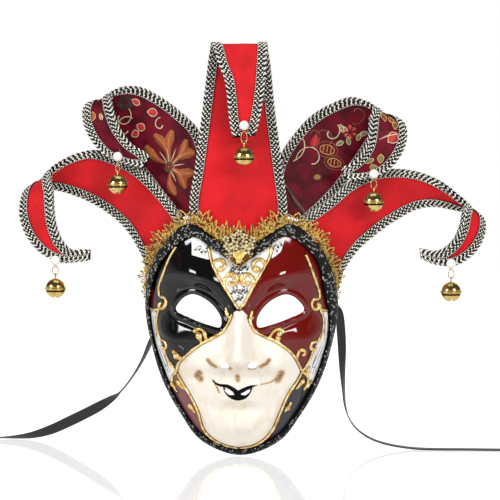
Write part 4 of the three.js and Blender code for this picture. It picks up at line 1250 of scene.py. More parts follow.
# %% The strip of a horn
class HornStrip:
    """The curved strip of one horn: t runs from base to tip, and across from edge a to edge b."""

    def __init__(self, rows):
        rows = np.array(rows, float)
        self.sections = len(rows) - 1
        self.edge_a = rows[:, 0:3]
        self.edge_b = rows[:, 3:6]
        self.bows = rows[:, 6:7]
        self.facing = 1.0
        self.facing = 1.0 if self.normal(np.array([0.0]))[0, 1] < 0 else -1.0

    def edges(self, t):
        return smooth_curve(self.edge_a, t), smooth_curve(self.edge_b, t)

    def normal(self, t):
        small = 0.01
        ahead = sum(self.edges(np.minimum(t + small, 1))) - sum(self.edges(np.maximum(t - small, 0)))
        a, b = self.edges(t)
        return unit(np.cross(ahead, b - a)) * self.facing

    def width(self, t):
        a, b = self.edges(t)
        return np.linalg.norm(b - a, axis=1)

    def point(self, t, across, lift):
        a, b = self.edges(t)
        bow = 4 * across * (1 - across) * smooth_curve(self.bows, t)[:, 0]
        return a + (b - a) * across[:, None] + self.normal(t) * (bow + lift)[:, None]

    def walked(self, t):
        """Lengths along the middle line."""
        return walked_length(self.point(t, np.full(len(t), 0.5), np.zeros(len(t))))


LENGTH_STEPS = 200
horn_strips = {name: HornStrip(rows) for name, rows in HORNS.items()}
for name, strip in horn_strips.items():
    print(name, "length in mm:", round(strip.walked(np.linspace(0, 1, LENGTH_STEPS))[-1]))

# %% [markdown]
# ## Cloth on the horns
#
# Three horns are covered in red velvet and two in burgundy brocade. Velvet has a pile that catches light at
# its edges, which is what the sheen of the shader is for, and a nap that lies unevenly. Brocade is a satin
# ground with woven figures: fine ribs run across it, and the figures are raised a little, so they are thin
# strips of thread that follow the cloth.

# %% Velvet and satin
horn_velvet, tree, shader = new_material("horn_velvet", roughness=0.9, sheen_weight=0.15, sheen_roughness=0.3)
shader.inputs["Sheen Tint"].default_value = rgb(255, 120, 110)
nap = grain(tree, 30.0, 3.0, None, "Spread")
pile = grain(tree, 0.45, 2.0)
velvet_colour = mix(tree, nap, rgb(216, 13, 27), rgb(184, 8, 19))
velvet_colour = mix(tree, ramp(tree, pile, 0.35, 0.7, 0.0, 0.4), velvet_colour, rgb(140, 5, 12))
tree.links.new(velvet_colour, shader.inputs["Base Color"])
bump(tree, shader, pile, 0.35, 0.0004)

brocade_satin, tree, shader = new_material("brocade_satin", roughness=0.5, specular_ior_level=0.15)
cloth_place = attribute(tree, "cloth_place", "Vector")
ribs = node(tree, "ShaderNodeTexWave", {
    "Vector": cloth_place,
    "Scale": 520.0,
    "Distortion": 0.8,
    "Detail": 1.0,
}, wave_type="BANDS", bands_direction="DIAGONAL").outputs["Fac"]
satin_cloud = grain(tree, 14.0, 3.0, None, "Spread")
satin_colour = mix(tree, satin_cloud, rgb(114, 6, 31), rgb(70, 3, 17))
satin_colour = mix(tree, ramp(tree, ribs, 0.2, 0.9, 0.0, 0.45), satin_colour, rgb(50, 4, 14))
tree.links.new(satin_colour, shader.inputs["Base Color"])
bump(tree, shader, ribs, 0.3, 0.0003)

figure_thread, tree, shader = new_material("figure_thread", roughness=0.48, sheen_weight=0.2)
figure_fibre = grain(tree, 0.6, 2.0)
figure_shade = ramp(tree, figure_fibre, 0.3, 0.7, 0.0, 0.55)
figure_colour = mix(tree, figure_shade, attribute(tree, "thread_colour", "Color"), rgb(40, 10, 12))
tree.links.new(figure_colour, shader.inputs["Base Color"])
bump(tree, shader, figure_fibre, 0.4, 0.0003)
print("cloths:", horn_velvet.name, brocade_satin.name, figure_thread.name)

# %% Horn cards
CARD_STEPS = 130
CARD_COLUMNS = 22
BRAID_WIDTH = 8.0
BRAID_THICK = 1.4
CLOTH_SUNK = 0.1
CLOTH_SWELL = 0.22


def cloth_swell(points):
    """The small unevenness of cloth glued over card."""
    x, _, z = np.moveaxis(points, -1, 0)
    return CLOTH_SWELL * np.sin(x / 9.0 + z / 17.0) * np.sin(z / 11.0 - x / 23.0)


for name, strip in horn_strips.items():
    steps = np.linspace(0, 1, CARD_STEPS)
    margin = (BRAID_THICK + GAP) / strip.width(steps)
    shares = np.linspace(0, 1, CARD_COLUMNS)
    t = np.repeat(steps, CARD_COLUMNS)
    across = (margin[:, None] + (1 - 2 * margin[:, None]) * shares[None]).ravel()
    flat = strip.point(t, across, np.zeros(len(t)))
    normals = strip.normal(t)
    lift = HORN_THICK / 2 - CLOTH_SUNK + cloth_swell(flat) * np.sin(math.pi * np.tile(shares, CARD_STEPS))
    shape = (CARD_STEPS, CARD_COLUMNS, 3)
    front = (flat + normals * lift[:, None]).reshape(shape)
    back = (flat - normals * lift[:, None]).reshape(shape)
    points, faces = strip_mesh(front, back)
    cloth = brocade_satin if name.endswith("brocade") else horn_velvet
    card = make_piece(f"{name}_cloth", points, faces, [cloth])
    along = strip.walked(steps)
    sideways = (across * strip.width(t)).reshape(CARD_STEPS, CARD_COLUMNS)
    ring = np.concatenate([sideways, sideways[:, ::-1]], axis=1)
    chart = np.stack([np.repeat(along, 2 * CARD_COLUMNS), ring.ravel(), np.zeros(ring.size)], axis=1)
    store(card.data, "cloth_place", chart * MM, "FLOAT_VECTOR")
    card.data.set_sharp_from_angle(angle=math.radians(50))
    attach(card, "root")
    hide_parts(name)
    print(card.name, "faces:", len(faces))

# %% [markdown]
# ## Woven figures of the brocade
#
# The figures are the usual ones of such cloth: a large open flower, leaves, curled vines, berries and
# rings. All of them are strokes. A stroke has a spine and a width along it, so a thin even one is a line,
# and a short one that swells is a petal or a leaf. A chart unrolls the horn, so the strokes are laid out flat
# in millimetres and then bent with the cloth.

# %% Strokes on the unrolled cloth
THREADS = {
    "rust": rgb(178, 84, 26), "gold": rgb(226, 176, 84), "cream": rgb(226, 206, 166), "red": rgb(206, 26, 34),
    "dark": rgb(38, 12, 16), "brown": rgb(126, 66, 34), "green": rgb(124, 128, 78),
}
CHART_STEPS = 600
STROKE_STEP = 0.9
STROKE_SUNK = 0.3
STROKE_CROWN = [0.4, 1.0, 0.4]
CLEAR_OF_BRAID = 0.8


def compass(degrees):
    """A direction in a plane, by its angle."""
    angle = math.radians(degrees)
    return np.array([math.cos(angle), math.sin(angle)])


class ClothChart:
    """Unrolls one side of a horn: u runs along its middle in mm, and v across it from the middle line."""

    def __init__(self, strip, side):
        self.strip = strip
        self.side = side
        self.t = np.linspace(0, 1, CHART_STEPS)
        self.u = strip.walked(self.t)
        self.parts = []
        self.colours = []

    def place(self, section, across):
        t = np.array([section / self.strip.sections])
        return np.array([np.interp(t[0], self.t, self.u), (across - 0.5) * self.strip.width(t)[0]])

    def bend(self, u, v, lift):
        t = np.interp(u, self.u, self.t)
        width = self.strip.width(t)
        inside = 0.5 - BRAID_WIDTH * CLEAR_OF_BRAID / width
        across = 0.5 + np.clip(v / width, -inside, inside)
        return self.strip.point(t, across, self.side * (HORN_THICK / 2 + lift))

    def stroke(self, spine, half_widths, colour, lift=0.22):
        """A thin strip along a spine. Its widths are given at even shares of the length."""
        spine = np.asarray(spine, float)
        count = max(8, int(walked_length(spine)[-1] / STROKE_STEP))
        flat = np.column_stack([spine, np.zeros(len(spine))])
        line = even_curve(flat, count)[:, :2]
        ahead = unit(np.gradient(line, axis=0))
        aside = np.stack([-ahead[:, 1], ahead[:, 0]], axis=1)
        half = np.interp(np.linspace(0, 1, count), np.linspace(0, 1, len(half_widths)), half_widths)
        shares = np.array([-1.0, 0.0, 1.0])
        u, v = (line[:, None] + aside[:, None] * (half[:, None] * shares)[..., None]).reshape(-1, 2).T
        crown = np.tile(STROKE_CROWN, count)
        top = self.bend(u, v, lift * crown).reshape(count, 3, 3)
        under = self.bend(u, v, np.full(len(u), -STROKE_SUNK)).reshape(count, 3, 3)
        points, faces = strip_mesh(top, under)
        self.parts.append((points, faces))
        self.colours.append(np.tile(THREADS[colour], (len(points), 1)))

    def petal(self, root, tip, wide, colour, bend=0.0):
        root, tip = np.asarray(root, float), np.asarray(tip, float)
        run = tip - root
        aside = left_of(run)
        spine = [root, root + run * 0.35 + aside * bend, root + run * 0.7 + aside * bend * 0.8, tip]
        self.stroke(spine, [wide * k + 0.55 for k in (0.25, 0.45, 0.85, 1.0, 0.45)], "dark", 0.14)
        self.stroke(spine, [wide * k for k in (0.2, 0.4, 0.8, 1.0, 0.4)], colour, 0.26)
        self.stroke(spine[1:], [0.15, 0.35, 0.15], "gold", 0.36)

    def leaf(self, root, heading, length, wide, colour, edge):
        ahead = compass(heading)
        aside = left_of(ahead)
        root = np.asarray(root, float)
        self.stroke([root, root + ahead * length / 2, root + ahead * length],
                    [wide * k for k in (0.3, 0.9, 1.0, 0.7, 0.05)], colour, 0.2)
        for hand in (-1, 1):
            rim = [root, root + ahead * length * 0.3 + aside * hand * wide,
                   root + ahead * length * 0.65 + aside * hand * wide * 0.9, root + ahead * length]
            self.stroke(rim, [0.35, 0.4, 0.35], edge, 0.32)

    def vine(self, root, heading, size, hand, colour="cream"):
        turn = np.radians(heading) + hand * np.linspace(0, 4.6, 14)
        reach = size * np.linspace(1.0, 0.28, 14)
        steps = np.stack([np.cos(turn), np.sin(turn)], axis=1) * reach[:, None] * 0.42
        spine = np.asarray(root, float) + np.vstack([[0, 0], np.cumsum(steps, axis=0)])
        self.stroke(spine, [0.4, 0.5, 0.45, 0.6], colour, 0.3)

    def ring(self, at, long, wide, heading, colour, half_width=0.4):
        turn = np.linspace(0, 2 * math.pi, 25)
        angle = math.radians(heading)
        oval = np.stack([long * np.cos(turn), wide * np.sin(turn)], axis=1)
        spin = np.array([[math.cos(angle), math.sin(angle)], [-math.sin(angle), math.cos(angle)]])
        self.stroke(np.asarray(at, float) + oval @ spin, [half_width, half_width], colour, 0.3)

    def berry(self, at, size, heading, colour="brown"):
        self.ring(at, size, size * 0.72, heading, colour, 0.45)
        self.ring(at, size * 0.68, size * 0.42, heading, "gold", 0.35)
        ahead = compass(heading)
        for shift in (-0.35, 0.0, 0.35):
            centre = np.asarray(at, float) + ahead * size * shift
            aside = left_of(ahead) * size * 0.32
            self.stroke([centre - aside, centre, centre + aside], [0.2, 0.35, 0.2], "gold", 0.28)

    def finish(self, name):
        points, faces = join_parts(self.parts)
        piece = make_piece(name, points, faces, [figure_thread])
        store(piece.data, "thread_colour", np.vstack(self.colours), "FLOAT_COLOR")
        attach(piece, "root")
        print(name, "strokes:", len(self.parts), "faces:", len(faces))


# %% An open flower
def open_flower(chart, at, tips, wide):
    for k, tip in enumerate(tips):
        away = unit(tip - at)
        chart.petal(at + away * 4.5, tip, wide, "rust", 0.12 * (-1) ** k)
        if k:
            between = unit((tips[k - 1] + tip) / 2 - at)
            spray = [at + between * reach for reach in (4, 11, 17)]
            chart.stroke(spray, [0.3, 0.55, 0.15], "cream", 0.34)
    chart.ring(at, 4.4, 4.4, 0, "dark", 0.9)
    chart.ring(at, 3.2, 3.2, 0, "brown", 0.9)
    chart.stroke([at - [1.6, 0], at, at + [1.6, 0]], [0.6, 1.8, 0.6], "rust", 0.34)


# %% Figures on the left brocade horn
left_front = ClothChart(horn_strips["horn_left_brocade"], 1)
flower_at = left_front.place(1.8, 0.62)
petal_tips = [left_front.place(*tip) for tip in (
    (3.15, 0.68), (3.2, 0.48), (2.75, 0.26), (2.1, 0.2), (1.65, 0.16), (1.25, 0.24), (0.95, 0.46),
    (0.85, 0.68))]
open_flower(left_front, flower_at, petal_tips, 4.4)
for section, across, heading, length, wide in ((3.65, 0.52, 20, 9, 3.2), (3.8, 0.62, 70, 8, 3.0),
                                               (3.65, 0.22, 35, 10, 3.2), (4.5, 0.28, 10, 9, 2.4)):
    left_front.leaf(left_front.place(section, across), heading, length, wide, "red", "cream")
for section, across, heading, size, hand in ((4.4, 0.54, 20, 9, 1), (4.85, 0.46, 160, 8, -1),
                                             (3.45, 0.24, 60, 5, 1)):
    left_front.vine(left_front.place(section, across), heading, size, hand)
for size in (3.0, 5.0, 7.0):
    left_front.ring(left_front.place(5.2, 0.4), size, size * 0.8, 30, "dark", 0.7)
left_front.vine(left_front.place(5.9, 0.58), 60, 7, 1, "brown")
left_front.finish("left_brocade_front_figures")

left_flap = ClothChart(horn_strips["horn_left_brocade"], -1)
left_flap.leaf(left_flap.place(8.3, 0.68), 10, 9, 3.0, "rust", "gold")
for size in (3.0, 1.6):
    left_flap.ring(left_flap.place(8.7, 0.42), size, size * 0.5, 0, "cream", 0.35)
left_flap.vine(left_flap.place(11.0, 0.45), 20, 5, 1, "brown")
left_flap.leaf(left_flap.place(2.2, 0.4), 30, 12, 4.0, "red", "cream")
left_flap.berry(left_flap.place(3.6, 0.5), 7, 40)
left_flap.vine(left_flap.place(5.2, 0.5), 120, 9, -1)
left_flap.finish("left_brocade_flap_figures")

# %% Figures on the right brocade horn
right_front = ClothChart(horn_strips["horn_right_brocade"], 1)
for section, across, heading, size, hand, colour in (
        (2.1, 0.2, 30, 11, -1, "cream"), (2.2, 0.22, -15, 11, 1, "cream"), (2.9, 0.24, 60, 8, -1, "brown"),
        (3.35, 0.24, -10, 9, 1, "brown"), (4.55, 0.34, 100, 7, 1, "cream"),
        (5.15, 0.48, 40, 8, -1, "brown")):
    right_front.vine(right_front.place(section, across), heading, size, hand, colour)
right_front.leaf(right_front.place(3.05, 0.32), -25, 11, 3.0, "red", "red")
right_front.berry(right_front.place(3.4, 0.5), 10, 60)
right_front.berry(right_front.place(3.15, 0.7), 9.5, 60)
right_front.berry(right_front.place(2.05, 0.62), 3.6, 45)
bloom_at = right_front.place(4.8, 0.56)
for turn in range(0, 360, 60):
    reach = 6.5 * compass(turn)
    right_front.petal(bloom_at + reach * 0.25, bloom_at + reach, 2.2, "red", 0.1)
for section, across, heading in ((4.55, 0.4, 60), (4.65, 0.36, 110), (4.35, 0.7, -60), (4.8, 0.74, -20),
                                 (4.25, 0.6, 200), (5.1, 0.72, 10)):
    right_front.leaf(right_front.place(section, across), heading, 8, 1.8, "green", "cream")
for across, colour, half in ((0.16, "dark", 1.1), (0.2, "rust", 0.6), (0.28, "dark", 1.6)):
    right_front.stroke([right_front.place(1.3 - across, across), right_front.place(0.85 - across, 0.5),
                        right_front.place(0.5 - across, 0.86)], [half, half, half], colour, 0.28)
right_front.finish("right_brocade_front_figures")

right_flap = ClothChart(horn_strips["horn_right_brocade"], -1)
for section, across, heading in ((8.3, 0.3, 20), (8.5, 0.5, 60), (8.7, 0.7, 0)):
    right_flap.leaf(right_flap.place(section, across), heading, 8, 2.4, "brown", "gold")
right_flap.leaf(right_flap.place(9.6, 0.75), -35, 13, 4.2, "red", "cream")
right_flap.stroke([right_flap.place(9.6, 0.78), right_flap.place(10.0, 0.5), right_flap.place(10.5, 0.3)],
                  [0.3, 0.6, 0.2], "cream", 0.36)
for section, across, heading in ((11.3, 0.5, 30), (11.8, 0.4, -20), (12.2, 0.5, 60)):
    right_flap.leaf(right_flap.place(section, across), heading, 9, 2.4, "green", "gold")
right_flap.leaf(right_flap.place(2.2, 0.45), 40, 12, 4.0, "red", "cream")
right_flap.berry(right_flap.place(3.6, 0.5), 7, 20)
right_flap.vine(right_flap.place(5.0, 0.5), 140, 9, 1)
right_flap.finish("right_brocade_flap_figures")

# %% [markdown]
# ## Braid on the horns
#
# A black and silver braid is folded over both edges of each horn. Its flat part is plaited from slanting
# threads in alternate directions, a row of small loops runs along its inner side, and a bolder twisted cord
# covers the fold. The dark base is a plain channel, and every thread is one stitch of the tree above.

# %% Braid thread
braid_thread = thread_material("braid_thread", rgb(2, 2, 2), rgb(255, 252, 240), 0.15, roughness=0.45)
braid_ground = thread_material("braid_ground", rgb(6, 6, 6), rgb(14, 13, 12), 0.1, roughness=0.9)
BRAID_BASE = 0.75
BRAID_RINGS = 120
FLAT_LANES = [(2.5, 48, 0), (4.3, -48, 1), (6.0, 48, 0)]
LANE_PITCH = 2.05
FLAT_STITCH = (0.72, 0.55, 1.35)
PICOT_STITCH = (0.55, 0.5, 0.75)
CORD_STITCH = (0.8, 0.75, 2.3)
CORD_PITCH = 2.3
CORD_SLANT = 36
PICOT_INWARD = 7.5
CORD_INWARD = 0.75
FOLD_INWARD = 0.15
LANE_STEPS = 600
print("braid threads:", braid_thread.name, braid_ground.name)


# %% Lanes and channel of a braid
def braid_depth(width):
    return np.minimum(BRAID_WIDTH, width / 2 - GAP)


class BraidLane:
    """Evenly spaced places along a braid, a distance in from the horn's edge and off its middle surface."""

    def __init__(self, strip, from_b, inward, lift, pitch):
        t = np.linspace(0, 1, LANE_STEPS)
        width = strip.width(t)
        share = inward * braid_depth(width) / BRAID_WIDTH / width
        path = strip.point(t, 1 - share if from_b else share, np.full(len(t), lift))
        walked = walked_length(path)
        wanted = (np.arange(int(walked[-1] / pitch)) + 0.5) * pitch
        spot = np.interp(wanted, walked, t)
        ahead = unit(np.gradient(path, axis=0))
        a, b = strip.edges(spot)
        self.at = read_along(wanted, walked, path)
        self.ahead = unit(read_along(wanted, walked, ahead))
        self.inward = unit(a - b if from_b else b - a)
        self.up = strip.normal(spot) * (1 if lift >= 0 else -1)
        self.count = np.arange(len(wanted))

    def slanted(self, degrees):
        angle = math.radians(degrees)
        return unit(self.ahead * math.cos(angle) + self.inward * math.sin(angle))


def braid_channel(strip, from_b):
    """The braid's dark base, folded over the edge."""
    slot = HORN_THICK / 2 + GAP
    skin = slot + BRAID_BASE
    t = np.linspace(0, 1, BRAID_RINGS)
    width = strip.width(t)
    deep = braid_depth(width)
    fold = np.full(BRAID_RINGS, BRAID_THICK)
    edge = np.zeros(BRAID_RINGS)
    corners = [(edge, skin), (deep, skin), (deep, slot), (fold, slot), (fold, -slot), (deep, -slot),
               (deep, -skin), (edge, -skin)]
    columns = []
    for inward, lift in corners:
        across = 1 - inward / width if from_b else inward / width
        columns.append(strip.point(t, across, np.full(BRAID_RINGS, lift)))
    points = np.stack(columns, axis=1).reshape(-1, 3)
    first = np.array([(3, 2, 1, 0), (7, 4, 3, 0), (7, 6, 5, 4)])
    last = first[:, ::-1] + (BRAID_RINGS - 1) * len(corners)
    faces = np.concatenate([grid_faces(BRAID_RINGS, len(corners), close_columns=True), first, last])
    return points, outward_faces(points, faces)


# %% Braids
for name, strip in horn_strips.items():
    for label, from_b in (("a", False), ("b", True)):
        stitches = Stitches()
        surface = HORN_THICK / 2 + GAP + BRAID_BASE
        for side in (1, -1):
            for inward, slant, shift in FLAT_LANES:
                lane = BraidLane(strip, from_b, inward, side * (surface + 0.1), LANE_PITCH)
                tone = ((lane.count + shift) % 2) * 0.95 + 0.05 * rng.random(len(lane.at))
                stitches.add(lane.at, lane.slanted(slant), lane.up, FLAT_STITCH, tone)
            lane = BraidLane(strip, from_b, PICOT_INWARD, side * (surface + 0.05), LANE_PITCH)
            stitches.add(lane.at, lane.ahead, lane.up, PICOT_STITCH, 0.75 + 0.2 * rng.random(len(lane.at)))
            lane = BraidLane(strip, from_b, CORD_INWARD, side * (surface + 0.05), CORD_PITCH)
            tone = (lane.count % 2) * 0.9 + 0.08 * rng.random(len(lane.at))
            stitches.add(lane.at, lane.slanted(-CORD_SLANT * side), lane.up, CORD_STITCH, tone)
        lane = BraidLane(strip, from_b, FOLD_INWARD, 0.0, CORD_PITCH)
        tone = ((lane.count + 1) % 2) * 0.9
        slanted = unit(lane.ahead + lane.up * 0.9)
        stitches.add(lane.at, slanted, -lane.inward, CORD_STITCH, tone)
        braid = stitched_piece(f"{name}_braid_{label}_thread", braid_channel(strip, from_b), braid_ground,
                               stitches, braid_thread, sides=5, rings=3)
        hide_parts(f"{name}_braid_{label}")

# %% [markdown]
# ## Braid round the face
#
# A broad black braid is glued over the shell's whole edge. It is a soft plait: slanting cords in rows that
# point against each other, dark, with specks of bright thread that are partly painted glints. It is broadest
# over the temples, most of all
# on the right. Each row keeps to a share of that width, measured over the surface, so a short search finds
# how far out the row is.

# %% Rows of the rim braid
RIM_SHARES = [0, 0.13, 0.2, 0.27, 0.33, 0.4, 0.46, 0.5]
RIM_WIDTHS_LEFT = [10.5, 11, 14, 15, 15, 9, 7, 5.5]
RIM_WIDTHS_RIGHT = [10.5, 11.5, 24, 19, 15, 9, 7, 5.5]
RIM_WIDTH_TOP = 10.5
RIM_THICKEST = 1.15
RIM_ROWS = 11
RIM_OUTER_ROW = 0.01
RIM_INNER_ROW = 0.95
RIM_SLANT = 42
RIM_LIFT = (2.5, 0.5)
RIM_PITCH = 1.6
RIM_STITCH = (0.62, 0.6, 1.2)
RIM_COLUMNS = 360
RIM_STEPS = 161
RIM_SEARCH_TO = 0.6
RIM_SPECKS_AND_GLINTS = 0.17
RIM_TONES = (0.95, 0.02)
RIM_FADE = (0.4, 1.2)
rim_thread = thread_material("rim_thread", rgb(3, 3, 4), rgb(206, 204, 198), 0.2, roughness=0.4)
rim_ground = thread_material("rim_ground", rgb(5, 5, 5), rgb(12, 12, 12), 0.1, roughness=0.8)

rim_along = np.arange(RIM_COLUMNS) / RIM_COLUMNS
rim_steps = np.linspace(1, RIM_SEARCH_TO, RIM_STEPS)
rim_walk = face_point(np.repeat(rim_along, RIM_STEPS), np.tile(rim_steps, RIM_COLUMNS))
rim_walk = rim_walk.reshape(RIM_COLUMNS, RIM_STEPS, 3)
rim_lengths = [walked_length(walk) for walk in rim_walk]
rim_shares = np.minimum(rim_along, 1 - rim_along)
rim_widths = np.where(rim_walk[:, 0, 0] > 0, table_curve(rim_shares, RIM_SHARES, RIM_WIDTHS_RIGHT),
                      table_curve(rim_shares, RIM_SHARES, RIM_WIDTHS_LEFT))
print("width of the rim braid in mm:", round(rim_widths.min(), 1), "to", round(rim_widths.max(), 1))


def rim_row(share, lift):
    """A closed row of points on the face, at a share of the braid's width from the edge, off the surface."""
    pairs = zip(rim_lengths, share * rim_widths)
    out = np.array([np.interp(distance, lengths, rim_steps) for lengths, distance in pairs])
    normals = face_normal(rim_along, out)
    return face_point(rim_along, out) + normals * lift, normals


def around_row(columns, shares):
    """Reads a closed row of points at shares of its count."""
    closed = np.vstack([columns, columns[:1]])
    return read_along(shares, np.linspace(0, 1, len(closed)), closed)


# %% Lay the rim braid
rim_sections = [(0.0, 0.6), (0.0, 2.9), (0.25, 2.7), (0.5, 2.6), (0.75, 2.3), (1.0, 1.3), (1.0, 0.6)]
rim_base = np.stack([rim_row(share, lift)[0] for share, lift in rim_sections], axis=1)
rim_points = rim_base.reshape(-1, 3)
rim_faces = outward_faces(rim_points, grid_faces(RIM_COLUMNS, len(rim_sections), True, True))
rim_stitches = Stitches()
for k in range(RIM_ROWS):
    share = RIM_OUTER_ROW + (RIM_INNER_ROW - RIM_OUTER_ROW) * k / (RIM_ROWS - 1)
    row, normals = rim_row(share, RIM_LIFT[0] + RIM_LIFT[1] * math.sin(math.pi * share))
    closed_row = np.vstack([row, row[:1]])
    walked = walked_length(closed_row)
    count = int(walked[-1] / RIM_PITCH)
    shares = np.interp((np.arange(count) + 0.5) * walked[-1] / count, walked, np.linspace(0, 1, len(walked)))
    at = around_row(row, shares)
    up = unit(around_row(normals, shares))
    ahead = unit(around_row(np.roll(row, -1, axis=0) - np.roll(row, 1, axis=0), shares))
    angle = math.radians(RIM_SLANT * (-1) ** k)
    along = ahead * math.cos(angle) + np.cross(up, ahead) * math.sin(angle)
    # About one stitch in six is bright: partly silver thread, partly a painted glint of light on the black
    # cord.
    tone = np.where(rng.random(count) < RIM_SPECKS_AND_GLINTS, *RIM_TONES) * rng.uniform(*RIM_FADE, count)
    widths = np.interp(shares, rim_along, rim_widths)[:, None]
    thin = np.minimum(widths / RIM_WIDTH_TOP, RIM_THICKEST)
    rim_stitches.add(at, along, up, np.array(RIM_STITCH) * thin, tone)
rim_piece = stitched_piece("rim_braid_thread", (rim_points, rim_faces), rim_ground, rim_stitches,
                           rim_thread, sides=6, rings=4)
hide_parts("rim_braid")

# %% [markdown]
# ## Gold lace
#
# A strip of metallic lace stands up behind the rim over the top of the face, highest over the dip of the
# forehead and lower towards its ends. It has a corded foot and a border of points, each a fan of leaves over
# an arch. The motif is drawn once as a few lines in its own frame, then repeated along the edge, and beads of
# thread follow the lines.

# %% Lace
LACE_REACH = 0.225
LACE_POINTS = 21
LACE_BEHIND = 0.4
LACE_BEAD = (0.62, 0.55, 0.95)
LACE_STEP = 1.35
LACE_CROWN = {"rise": 0.55, "reach": 0.05}
LACE_END = {"reach": 0.09, "least": 0.36}
LACE_SCATTER = {"place": 0.16, "tone": 0.4}
LACE_LAYER = 0.35
LACE_UNEVEN = {"rise": 0.16, "turn": 2.1}
FOOT_STEPS = 400
FOOT_BEAD = (0.8, 0.7, 1.1)
# The tone column of the foot cords and LACE_TONES make one gold thread bright on some lines and dark brown on
# others: painted highlights and painted shade of the gaps.
FOOT_CORDS = [(-0.6, -0.3, 0.5), (0.9, -0.7, 0.95), (2.3, -0.3, 0.1), (3.4, 0.1, 0.8)]
MOTIF_PITCH = 12.0
LACE_TONES = (0.95, 0.15, 0.75)
lace_thread = thread_material("lace_thread", rgb(84, 34, 2), rgb(255, 214, 108), 0.5, roughness=0.34,
                              metallic=0.1)


# %% Motif of the lace
def oval_line(x, height, half_wide, half_tall, turn=0.0, count=24, sweep=2 * math.pi):
    angle = np.linspace(0, sweep, count)
    across = half_wide * np.cos(angle)
    up = half_tall * np.sin(angle)
    lean = math.radians(turn)
    return np.stack([x + across * math.cos(lean) - up * math.sin(lean),
                     height + across * math.sin(lean) + up * math.cos(lean)], axis=1)


def lace_leaf(x, height, lean, long, wide):
    """A pointed leaf of thread: two bowed sides and a vein. x and wide are shares of the motif's width."""
    s = np.linspace(0, 1, 16)
    angle = math.radians(lean)
    lines = []
    for bow in (-1.0, 0.0, 1.0):
        aside = bow * wide * np.sin(math.pi * s**0.8)
        lines.append(np.stack([
            x + s * long * math.sin(angle) / MOTIF_PITCH + aside * math.cos(angle),
            height + s * long * math.cos(angle) - aside * MOTIF_PITCH * math.sin(angle),
        ], axis=1))
    return lines


LACE_MOTIF = [
    *lace_leaf(0, 5.0, 0, 11.0, 0.15),
    *lace_leaf(-0.15, 4.8, -20, 8.6, 0.13),
    *lace_leaf(0.15, 4.8, 20, 8.6, 0.13),
    *lace_leaf(-0.26, 4.0, -42, 6.6, 0.12),
    *lace_leaf(0.26, 4.0, 42, 6.6, 0.12),
    *lace_leaf(-0.5, 3.0, 0, 5.0, 0.11),
    oval_line(0, 3.4, 0.4, 3.0, sweep=math.pi),
    oval_line(0, 4.2, 0.13, 1.5),
    oval_line(-0.3, 5.8, 0.1, 1.3),
    oval_line(0.3, 5.8, 0.1, 1.3),
]
motif_share = 2 * LACE_REACH / LACE_POINTS
print("lines in one motif of the lace:", len(LACE_MOTIF))


# %% Lay the lace
def lace_place(along, height, forward):
    """Places in the upright band behind the rim: along is a share of the edge, height is off the edge."""
    small = 0.0015
    edge = edge_at(along)
    ahead = unit(edge_at(along + small) - edge_at(along - small))
    outward = unit(np.stack([-ahead[:, 2], np.zeros(len(ahead)), ahead[:, 0]], axis=1))
    crown = np.exp(-((along / LACE_CROWN["reach"]) ** 2))
    outward = unit(outward * (1 - crown)[:, None] + crown[:, None] * [0, 0, 1])
    from_end = (LACE_REACH - np.abs(along)) / LACE_END["reach"]
    fade = np.minimum(1, from_end + LACE_END["least"]) * (1 + LACE_CROWN["rise"] * crown)
    return edge + outward * (height * fade)[:, None] + [0, LACE_BEHIND + forward, 0]


def bead_places(points, step, fewest):
    """The middles of equal steps along a line, each about as long as step, and the directions there."""
    walked = walked_length(points)
    count = max(fewest, int(walked[-1] / step))
    wanted = (np.arange(count) + 0.5) * walked[-1] / count
    ahead = read_along(wanted, walked, np.gradient(points, axis=0))
    return read_along(wanted, walked, points), unit(ahead)


def lace_line(stitches, along, height, forward, tone, size=LACE_BEAD):
    """Beads of thread along one line of the lace."""
    at, ahead = bead_places(lace_place(along, height, forward), LACE_STEP, 2)
    count = len(at)
    up = square_to(ahead, np.tile([0.0, -1.0, 0.0], (count, 1)))
    at = at + rng.normal(scale=LACE_SCATTER["place"], size=at.shape)
    sizes = np.array(size) * rng.uniform(0.8, 1.25, (count, 1))
    tones = np.clip(tone + rng.normal(scale=LACE_SCATTER["tone"], size=count), 0, 1)
    stitches.add(at, ahead, up, sizes, tones)


lace = Stitches()
for k in range(LACE_POINTS):
    middle = -LACE_REACH + (k + 0.5) * motif_share
    tall = 1 + LACE_UNEVEN["rise"] * math.sin(LACE_UNEVEN["turn"] * k)
    for i, line in enumerate(LACE_MOTIF):
        # Each layer takes its tone from LACE_TONES: the bright lines are painted highlights, the dark layer
        # is painted shade.
        layer = i % len(LACE_TONES)
        along = np.clip(middle + line[:, 0] * motif_share, -LACE_REACH, LACE_REACH)
        lace_line(lace, along, line[:, 1] * tall, -LACE_LAYER * layer, LACE_TONES[layer])
foot_along = np.linspace(-LACE_REACH, LACE_REACH, FOOT_STEPS)
for height, forward, tone in FOOT_CORDS:
    lace_line(lace, foot_along, np.full(FOOT_STEPS, height), forward, tone, FOOT_BEAD)
lace_piece = stitched_piece("lace_trim_thread", None, None, lace, lace_thread, sides=5, rings=3)
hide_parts("lace_trim")

# %% [markdown]
# ## Medallion
#
# Over the dip of the forehead sits a gold filigree medallion: a lobed plate covered in tiny flowers of
# beaded wire, with rows of beads along its foot and a bright three-sided boss below its middle. The plate is
# thin and dark, and the beads are laid on it as stitches. The frame of the plate leans with the forehead.

